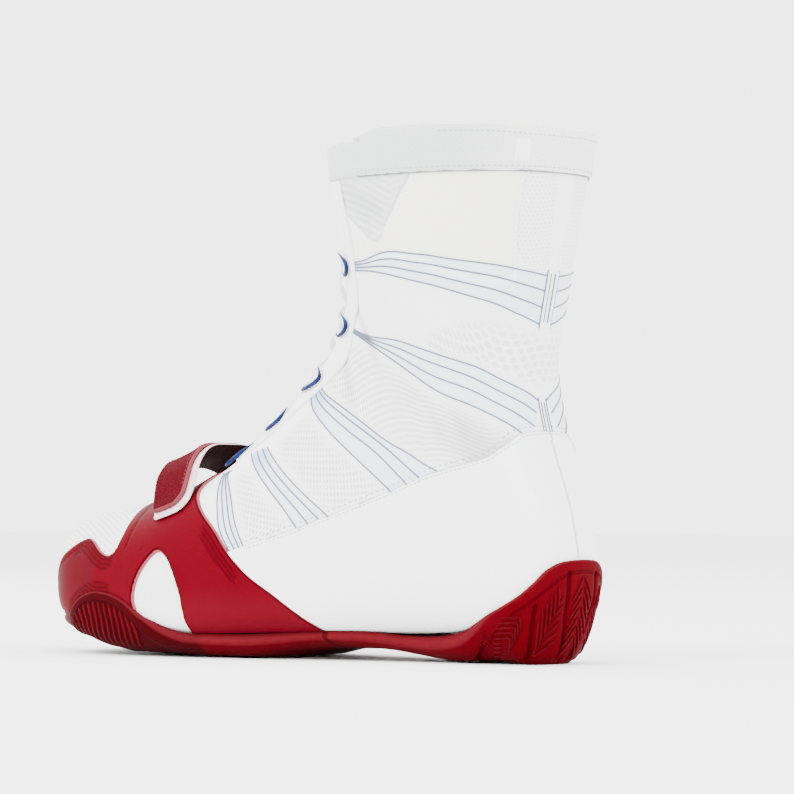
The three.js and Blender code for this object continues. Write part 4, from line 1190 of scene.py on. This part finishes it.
# The cloth under the strap, between the wings of the wrap, where dark maroon is painted as the strap's shadow
under_strap = inside_distance(shaft.points[..., 0], shaft.points[..., 2], WRAP_LINE)
strap_middle = form_points(np.array([(STRAP_TOE_ROW + STRAP_ANKLE_ROW) / 2]), np.zeros(1))[0, 0]
HOLLOW_HALF = 13
hollow = np.minimum.reduce([
    under_strap, HOLLOW_HALF - np.abs(shaft.points[..., 1]), strap_middle - shaft.points[..., 0],
])
upper = grid_sheet(
    "boot_upper", shaft, np.minimum(under_collar, -in_throat),
    rounded(np.minimum(under_collar, -in_throat), 0.6, 0.9) - 0.6 - creases, -WALL, crease=creases,
    film=film, apex=apex, ivory=shaft.zone(IVORY), patch=shaft.zone(PATCH), comb=shaft.zone(COMB),
    back_comb=shaft.zone(BACK_COMB), net=np.maximum.reduce([shaft.zone(net) for net in NETS]),
    toe_net=shaft.points[..., 0] - along(0.79), hollow=hollow,
)
finish_piece(upper, "upper", "upper")

cable_lines = [line for lines in cables for line in lines]
cable_lines = both_sides([np.stack([line[:, 0], np.radians(line[:, 1])], 1) for line in cable_lines])
along_lines("lace_cables", CORDS, on_form(cable_lines, 0.12), "cable", radius=CABLE_RADIUS, step=2.5)

# Upright ends of the two upper fans, either side of a white bar down the back
END_LINES = [[(15.93, 174.8), (15.4, 174.8)], [(15.9, 178.2), (15.46, 178.2)],
             [(14.58, 176.3), (13.98, 175.6)], [(14.52, 178.5), (14.0, 178.2)]]
END_STEP = 0.05


def fine_line(line):
    """A line of rows and degrees, in small steps, as rows and radians."""
    return np.array([(row, math.radians(degrees)) for row, degrees in even_line(line, END_STEP)])


end_lines = [fine_line(line) for line in END_LINES]
along_lines("cable_ends", CORDS, on_form(both_sides(end_lines), 0.12), "cable", radius=0.3, step=1)
BAR = [(16.05, 176.4), (15.3, 176.4)]
bar_line = fine_line(BAR)
along_lines("back_bar", CORDS, on_form(both_sides([bar_line]), 0.05), "tab", radius=0.75, step=1)

# Heel quarter

def heel_height(t, angle):
    return form_points(t, angle)[..., 2]


heel = Grid(230, 165, 7.0, 15.6, (58, 302))
in_quarter = quarter_field(heel.points)
quarter = grid_sheet(
    "heel_quarter_panel", heel, in_quarter, rounded(in_quarter, 1.15, 1.1), -0.25, edge=in_quarter,
    seam=np.where(heel.points[..., 0] < 0, heel.points[..., 1], 20),
)
finish_piece(quarter, "quarter", "heel_quarter")

def above_cup(inset, height):
    """The quarter's outline, inset, where it runs over the heel cup by more than the height."""
    line = contour(heel, in_quarter, inset)
    return pick(line, lambda t, angle: heel_height(t, angle) > HEEL_CUP_HEIGHT + height)


top_edge = above_cup(1.5, 4)
along_lines("quarter_stitches", STITCHES, on_form(top_edge, 1.12), "stitch_grey",
            pitch=2.3, length=0.85, thickness=0.22)
holes = above_cup(-2.2, 4)
along_lines("quarter_perforations", STITCHES, on_form(holes, 0.0), "stitch_grey",
            pitch=3.1, length=0.75, thickness=0.3)
under_line = above_cup(0.02, 2)
along_lines("quarter_edge_line", CORDS, on_form(under_line, 0.1), "stitch_grey", radius=0.22, step=2)

# Forefoot wrap

toe = Grid(240, 260, 0, 9.6)
in_wrap = wrap_field(toe.points)
side = toe.points[..., [0, 2]]
rear_line = smooth_line(on_instep(WRAP_REAR))
share_along = (toe.points[..., 0] + HEEL_SEAT) / LENGTH
share_up = toe.points[..., 2] / INSTEP_HEIGHT
rear = line_distance(side[..., 0], side[..., 1], rear_line)
on_toe = (share_along - 0.82) * LENGTH
on_arm = np.minimum.reduce([
    (share_along - 0.715) * LENGTH, (0.8 - share_along) * LENGTH, (share_up - 0.42) * INSTEP_HEIGHT,
    (0.62 - share_up) * INSTEP_HEIGHT,
])
on_dip = np.minimum((share_along - 0.78) * LENGTH, (0.885 - share_along) * LENGTH)
on_hip = np.minimum((share_along - 0.525) * LENGTH, (0.6 - share_along) * LENGTH)


def pressed(distance, place, zone):
    """A line pressed into the wrap, one in its middle and nothing at its sides and ends."""
    return (1 - smoothstep(np.abs(distance - place), 0.15, 0.85)) * smoothstep(zone, -1, 2)


lines = [pressed(in_wrap, 4.0, on_toe), pressed(in_wrap, 7.0, on_arm)]
for place in (2.4, 4.3, 6.2):
    lines.append(pressed(in_wrap, place, on_dip))
    lines.append(pressed(rear, place + 1.2, on_hip))
lines = np.maximum.reduce(lines)
wrap = grid_sheet(
    "forefoot_wrap_panel", toe, in_wrap, rounded(in_wrap, 1.65, 1.5) - 0.38 * lines, -0.25,
    edge=in_wrap, line=lines, toe=on_toe, low=(0.3 - share_up) * INSTEP_HEIGHT,
)
finish_piece(wrap, "wrap", "forefoot_wrap")

# Collar band

collar = Grid(46, 300, 14.9, TOP_ROW)
side_z = collar.points[..., 2]
band_low = COLLAR_HEIGHT - CUFF_DEPTH
in_cuff = np.minimum.reduce([
    side_z - band_low, collar_field(collar.points) - 0.4, -throat_field(collar.points) - 0.8,
])
# The band's turn from the front sets its painted light and shade
cuff = grid_sheet(
    "collar_cuff_band", collar, in_cuff, rounded(in_cuff, 1.4, 1.6), -0.25,
    edge=in_cuff, turn=np.abs(np.degrees(collar.angle)),
)
finish_piece(cuff, "cuff", "collar_cuff")
outer_back = lambda t, angle: angle > math.radians(72)
band_edge = pick(contour(collar, side_z, band_low), outer_back)
along_lines("band_lower_edge", CORDS, on_form(band_edge, 0.5), "seam", radius=0.34, step=3)
band_seam = pick(contour(collar, side_z, band_low + 2.2), outer_back)
along_lines("band_stitches", STITCHES, on_form(band_seam, 1.42), "stitch_grey",
            pitch=2.6, length=0.95, thickness=0.24)
top_seam = pick(contour(collar, collar_field(collar.points), 3.2), lambda t, angle: angle > math.radians(112))
along_lines("collar_top_stitches", STITCHES, on_form(top_seam, 1.42), "stitch_grey",
            pitch=2.4, length=0.9, thickness=0.24)
tab_grid = Grid(20, 24, 16.7, 16.9, (145, 153))
tab_edge = np.minimum.reduce([
    (tab_grid.t - 16.72) * MM_A_ROW * 1.6, (16.88 - tab_grid.t) * MM_A_ROW * 1.6,
    (np.degrees(tab_grid.angle) - 145.5) * 0.7, (152.5 - np.degrees(tab_grid.angle)) * 0.7,
])
tab = grid_sheet("band_tab", tab_grid, tab_edge, 1.35 + rounded(tab_edge, 0.5, 0.8), 1.0, edge=tab_edge)
finish_piece(tab, "tab")

# Eyestay strips beside the throat

front = Grid(330, 130, 7.0, 16.4, (-84, 84))
front_throat = throat_field(front.points)
front_z = front.points[..., 2]
wrap_shape = inside_distance(front.points[..., 0] - 0.45, front.points[..., 2], WRAP_LINE)
for name, hand in [("eyestay_outer", 1), ("eyestay_inner", -1)]:
    in_stay = np.minimum.reduce([
        -front_throat - 0.6, front_throat + EYESTAY_WIDTH, front_z - EYESTAY_FOOT * COLLAR_HEIGHT,
        band_low - 0.45 - front_z, -wrap_shape, hand * front.points[..., 1],
    ])
    stay = grid_sheet(name + "_strip", front, in_stay, 0.15 + rounded(in_stay, 0.72, 0.9), 0.0, edge=in_stay)
    finish_piece(stay, "eyestay", name)
    rim = pick(contour(front, in_stay, 1.5), lambda t, angle: t > 0)
    along_lines(name + "_stitches", STITCHES, on_form(rim, 0.85), "stitch",
                pitch=2.2, length=0.8, thickness=0.2)

# Tongue, crowned through the throat opening

tongue_grid = Grid(260, 120, 5.5, TOP_ROW, (-80, 80))
tongue_throat = throat_field(tongue_grid.points)
in_tongue = np.minimum(tongue_throat + TONGUE_OVERLAP, collar_field(tongue_grid.points) + 0.8)
crown = smoothstep(tongue_throat, 0.5, 7)
channels = 0.25 * np.cos(tongue_grid.values["along"] * 2 * math.pi / 22) * crown
body = rounded(in_tongue, TONGUE_THICKNESS, 2.5)
tongue = grid_sheet(
    "padded_tongue", tongue_grid, in_tongue, -WALL - GAP - TONGUE_THICKNESS + body + crown * 1.6 + channels,
    -WALL - GAP - TONGUE_THICKNESS, edge=in_tongue,
)
finish_piece(tongue, "tongue", "tongue")

# Insole

bed_grid = Grid(220, 80, 0.4, 12.0, (96, 264))
bed_points = bed_grid.offset(-WALL - GAP)
top_of_bed = bed_height(bed_points[..., 0]) + WALL + GAP + INSOLE_THICKNESS
bed_top = bed_points.copy()
bed_top[..., 2] = top_of_bed
insole = closed_sheet(
    "insole_board", bed_grid.faces(), top_of_bed - bed_points[..., 2] - 0.15, bed_points, bed_top, bed_grid.values)
finish_piece(insole, "insole", "insole")

# Loops of cord: a thin tip at the top, a bow towards the cables and a thicker hook below

LOOP_BOW = [(-0.1, 1.0, 0.45), (0.3, 0.8, 0.6), (0.72, 0.45, 0.85), (0.98, 0.05, 1.0), (0.92, -0.35, 1.05),
            (0.62, -0.72, 1.1), (0.2, -0.95, 1.1), (-0.2, -0.9, 1.05), (-0.38, -0.66, 1.0)]
LOOP_INSET = 1.5
LOOP_MIDDLE = GAP + EYESTAY_THICKNESS + 0.45 + LOOP_CORD / 2
LACE_MIDDLE = GAP + EYESTAY_THICKNESS + 0.45 + 0.3 + LACE_THICKNESS / 2


def throat_half(z):
    heights = [height * COLLAR_HEIGHT for _, height in THROAT_EDGE]
    return np.interp(z, heights, [width * COLLAR_WIDTH for width, _ in THROAT_EDGE])


level_z = np.array(LOOP_LEVELS) * COLLAR_HEIGHT
level_y = throat_half(level_z) + LOOP_INSET
for hand, side_name in [(1, "outer"), (-1, "inner")]:
    for i, (y, z) in enumerate(zip(level_y, level_z)):
        bow = smooth_line([(bend, rise) for bend, rise, _ in LOOP_BOW], 4)
        goals = [(hand * (y + bend * LOOP_BEND), z + rise * (LOOP_LENGTH - LOOP_CORD) / 2) for bend, rise in bow]
        t, angle = find_places(from_front, goals, (5, TOP_ROW), (0, 80) if hand > 0 else (-80, 0))
        points = form_offset(t, angle, np.full(len(t), LOOP_MIDDLE))
        name = f"lace_loop_{side_name}_{i + 1}"
        loop = along_lines(name + "_cord", CORDS, [points], "loop",
                           taper=0.42, radius=LOOP_CORD * 0.56, step=0.6)
        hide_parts(name)

# Flat lace, one bar at the foot and crossings above it

LACE_END = 1.0


# The worn lace is pressed a little wider and thinner than the solid one
LACE_SPREAD = 1.15
LACE_PRESS = 0.8


def lace_run(start, stop, lift):
    goals = np.linspace(start, stop, 21)
    t, angle = find_places(from_front, goals, (5, TOP_ROW), (-80, 80))
    hump = lift * np.sin(np.linspace(0, math.pi, 21)) ** 2
    return form_offset(t, angle, LACE_MIDDLE + hump), form_normals(t, angle)


runs = []
for i in range(len(level_y)):
    low_y, low_z = level_y[i] + LACE_END, level_z[i]
    if i == 0:
        runs.append(lace_run((low_y, low_z), (-low_y, low_z), 0.0))
    if i + 1 < len(level_y):
        for hand, lift in [(1, 0.15), (-1, -0.15)]:
            goal = (-hand * (level_y[i + 1] + LACE_END), level_z[i + 1])
            runs.append(lace_run((hand * low_y, low_z), goal, lift))
lines, outward = [p for p, _ in runs], [n for _, n in runs]
points, faces = swept(lines, outward, LACE_WIDTH * LACE_SPREAD, LACE_THICKNESS * LACE_PRESS)
mesh = bpy.data.meshes.new("flat_lace")
mesh.from_pydata((np.array(points) * MM).tolist(), [], faces)
mesh.shade_smooth()
finish_piece(link_piece("flat_lace", mesh), "lace", "lace")

# Strap over the instep and the pale layer under it

STRAP_SEAT = GAP + 1.3 + 0.9
STRAP_WIDTHS = [1, 1, 1, 1, 1, 1, 1, 0.97, 0.9, 0.8, 0.7, 0.62]
STRAP_END = 46.5


def strap_layer(name, low, thickness, wider, longer, look, node):
    degrees = np.linspace(STRAP_ROWS[0][0], STRAP_END + longer, 150)
    share = np.linspace(0, 1, 41)
    turns, shares = np.meshgrid(degrees, share, indexing="ij")
    lift = smooth_line(STRAP_ROWS, 6)
    lifts = np.interp(turns, lift[:, 0], lift[:, 1]) * STRAP_ARCH
    to_end = np.clip((STRAP_END + longer - turns) / 7, 0, 1)
    corner_round = 1 - np.sqrt(1 - (1 - to_end) ** 2)
    narrow = smooth_line([(row[0], part) for row, part in zip(STRAP_ROWS, STRAP_WIDTHS)], 6)
    width = (STRAP_ANKLE_ROW - STRAP_TOE_ROW) * np.interp(turns, narrow[:, 0], narrow[:, 1])
    width = width * (1 - 0.45 * corner_round)
    t = STRAP_ANKLE_ROW - 0.2 * corner_round - (1 - shares) * width + wider * np.clip(shares * 4 - 2, 0, 1)
    base = form_offset(t, np.radians(turns), STRAP_SEAT + lifts + low)
    out = form_normals(t, np.radians(turns))
    from_edge = np.minimum(shares, 1 - shares) * 21 * np.clip(width, 0.2, 2)
    from_edge = np.minimum(from_edge, (STRAP_END + longer - turns) * 0.9)
    top = base + out * (0.3 + rounded(from_edge, thickness - 0.3, 1.4))[..., None]
    rows, columns = turns.shape
    corner = np.arange(rows * columns).reshape(rows, columns)
    a, b = corner[:-1, :-1].ravel(), corner[:-1, 1:].ravel()
    c, d = corner[1:, 1:].ravel(), corner[1:, :-1].ravel()
    faces = np.vstack([np.stack([a, b, c], 1), np.stack([a, c, d], 1)])
    values = {"edge": from_edge, "around": (turns + 66) * 1.1, "along": shares * 23}
    piece = closed_sheet(name, faces, np.ones(turns.shape), top, base, values)
    finish_piece(piece, look, node)
    return top, base, faces


strap_top, _, _ = strap_layer("instep_strap", 1.7, STRAP_THICKNESS, 0, 0, "strap", "strap")
strap_layer("strap_backing_pile", 0, STRAP_BACKING_THICKNESS, 0.12, 3, "backing", "strap_backing")
for name, column in [("strap_stitches_toe", 3), ("strap_stitches_ankle", 37)]:
    along_lines(name, STITCHES, [strap_top[4:-14, column]], "stitch_red",
                pitch=2.4, length=0.85, thickness=0.24)

# Outsole


def sole_surface(t, angle, offset):
    return to_sole(form_offset(t, angle, offset))


HEEL_DEGREE = 0.75


def from_heel(p):
    """A view turning round the heel: millimetres from the straight back, and height."""
    return np.stack([np.degrees(np.arctan2(np.abs(p[..., 1]), -p[..., 0])) * HEEL_DEGREE, p[..., 2]], -1)


# Grooves on the heel: degrees from the straight back and heights
HEEL_GROOVES = [
    [(73, 1.5), (64, 8.6), (60, 15)],
    [(29, 0.5), (30.5, 13.4), (30, 26)],
    [(4, 1), (8.5, 11), (11.3, 25), (11.5, 41)],
]
TREAD = [(0.545, 1), (0.585, 1), (0.66, 1), (0.7, 1),
         (0.085, 0.62), (0.115, 0.62), (0.195, 0.62), (0.225, 0.62)]
TREAD_HALF = 44
TREAD_LEAN = 0.03
TREAD_DEPTH = 1.1
GROOVE_DEPTH = 0.85
WAIST_GROOVE = [(0.36, 0.06), (0.385, 0.2), (0.4, 0.3)]
base = Grid(400, 190, 0, 14, (64, 296), sole_surface)
in_sole = sole_field(base.points)
x, y, z = (base.offset(SOLE_SIDE)[..., k] for k in range(3))
groove = np.full(base.shape, 9.0)
heel_view = from_heel(np.stack([x, y, z], -1))
for line in HEEL_GROOVES:
    places = smooth_line([(degrees * HEEL_DEGREE, height) for degrees, height in line], 4)
    groove = np.minimum(groove, line_distance(heel_view[..., 0], heel_view[..., 1], places))
places = np.array([(along(share), part * HEEL_CUP_HEIGHT) for share, part in WAIST_GROOVE])
groove = np.minimum(groove, line_distance(x, z, places))
groove = np.where(z < 1, 9, groove)
tread = np.full(base.shape, 9.0)
for place, reach in TREAD:
    line = [(along(place + (TREAD_LEAN if i % 2 else 0)), step * TREAD_HALF * reach)
            for i, step in enumerate((-1, -0.5, 0, 0.5, 1))]
    tread = np.where(z < 0.6, np.minimum(tread, line_distance(x, y, np.array(line))), tread)
rim = rounded(in_sole, 0.9, 1.4) - 0.55 * smoothstep(in_sole, 3.6, 5.0)
cut = GROOVE_DEPTH * (1 - smoothstep(groove, 0.5, 1.5)) * smoothstep(in_sole, 2.5, 4.5)
outer = base.offset(SOLE_SIDE - 0.75 + rim * np.where(z < 1, 0, 1) - cut)
outer[..., 2] += TREAD_DEPTH * (1 - smoothstep(tread, 0.6, 1.3)) * np.where(z < 0.6, 1, 0)
# The forefoot value masks the painted shade on the forefoot and its fins
values = {**base.values, "edge": in_sole, "groove": groove, "tread": tread, "forefoot": x - along(0.6)}
outsole = closed_sheet("outsole_rubber", base.faces(), in_sole, outer, base.offset(GAP), values)
finish_piece(outsole, "sole", "outsole")

FIN_STEPS = 14
FIN_FIRST = 0.885
FIN_REACH = 0.166
fins = []
for i in range(FIN_STEPS):
    place = FIN_FIRST - FIN_REACH * i / (FIN_STEPS - 1)
    wave = WAVE_LINE[np.argsort(WAVE_LINE[:, 0])]
    high = np.interp(along(place), wave[:, 0], wave[:, 1]) - 3.4
    low = sole_bottom(np.array([along(place)]))[0] + 3.0
    x = along(place)
    line = smooth_line([(x + 2.6, low), (x - 0.3, (low + high) / 2), (x + 2.2, high)], 6)
    fins.append(np.stack(find_places(from_side, line, (1.2, 6), (70, 160), sole_surface, SOLE_SIDE), 1))
along_lines("forefoot_fins", CORDS, on_form(fins, SOLE_SIDE - 0.45, sole_surface), "ribs",
            taper=0.2, radius=0.85, step=1)

# Ribs on the heel between its upright grooves: degrees from the straight back and heights
LEFT_BARS = [[(54, level), (37.5 + 1.2 * i, level + 0.5), (37 + 1.2 * i, max(level - 6.5, 2.5))]
             for i, level in enumerate((20.5, 18.2, 15.9, 13.6, 11.3))]
LEFT_POSTS = [[(54, level), (47, level + 0.2)] for level in (9.2, 7.2, 5.2, 3.2)]
MIDDLE_CHEVRONS = [[(27.6 - 1.9 * i, min(low + 17, 24.5 + 2.1 * i)), (26.6 - 1.9 * i, low),
                    (14.4, low + 7.5 - 0.6 * i)]
                   for i, low in enumerate((3.5, 8.0, 12.5, 17.0, 21.5, 26.0))]
RIGHT_CHEVRONS = [[(8.3, low), (0.6, low + 10.5)] for low in (2.0, 6.4, 10.8, 15.2, 19.6, 24.0, 28.4)]
ribs = []
for line in LEFT_BARS + LEFT_POSTS + MIDDLE_CHEVRONS + RIGHT_CHEVRONS:
    goals = even_line([(degrees * HEEL_DEGREE, height) for degrees, height in line], 0.8)
    ribs.append(np.stack(find_places(from_heel, goals, (9.6, 13.95), (92, 181), sole_surface, SOLE_SIDE), 1))
along_lines("heel_ribs", CORDS, on_form(both_sides(ribs), SOLE_SIDE - 0.3, sole_surface), "ribs", taper=0.12,
            radius=0.62, step=0.8)


# Floor, light and camera

def add_stage():
    bpy.ops.mesh.primitive_plane_add(size=12)
    floor = bpy.context.object
    floor.name = "floor"
    floor.data.materials.append(floor_white())
    world = bpy.data.worlds.new("studio")
    world.use_nodes = True
    world.node_tree.nodes["Background"].inputs[0].default_value = (1, 1, 1, 1)
    world.node_tree.nodes["Background"].inputs[1].default_value = 4.2
    bpy.context.scene.world = world


def add_light(name, place, target, size, power):
    light = bpy.data.lights.new(name, "AREA")
    light.size = size
    light.energy = power
    lamp = bpy.data.objects.new(name, light)
    lamp.location = place
    lamp.rotation_euler = (Vector(target) - Vector(place)).to_track_quat("-Z", "Y").to_euler()
    bpy.context.collection.objects.link(lamp)


# The photograph's camera: turned behind the outer side, low over the floor, with a long lens
CAMERA_TURN = math.radians(38.5)
CAMERA_DISTANCE = 1.75
CAMERA_HEIGHT = 0.0707
CAMERA_TARGET = Vector((0.1, 0, 0))
CAMERA_SIDE = 0.0344
CAMERA_PITCH = math.radians(1.652)
CAMERA_LENS = 169.8


def add_camera():
    back = Vector((-math.sin(CAMERA_TURN), math.cos(CAMERA_TURN), 0))
    right = Vector((-math.cos(CAMERA_TURN), -math.sin(CAMERA_TURN), 0))
    camera = bpy.data.cameras.new("camera")
    camera.lens = CAMERA_LENS
    camera.sensor_width = 36
    camera.clip_end = 50
    eye = bpy.data.objects.new("camera", camera)
    eye.location = CAMERA_TARGET + back * CAMERA_DISTANCE + right * CAMERA_SIDE
    eye.location.z = CAMERA_HEIGHT
    ahead = -back * math.cos(CAMERA_PITCH) + Vector((0, 0, math.sin(CAMERA_PITCH)))
    eye.rotation_euler = ahead.to_track_quat("-Z", "Y").to_euler()
    bpy.context.collection.objects.link(eye)
    bpy.context.scene.camera = eye


add_stage()
add_light("key", (0.6, 1.6, 1.7), (0.08, 0, 0.1), 1.4, 60)
add_light("back_fill", (-1.8, 0.4, 1.3), (0.08, 0, 0.1), 1.4, 35)
add_light("toe_fill", (1.6, -0.4, 1.2), (0.08, 0, 0.1), 1.2, 25)
add_camera()
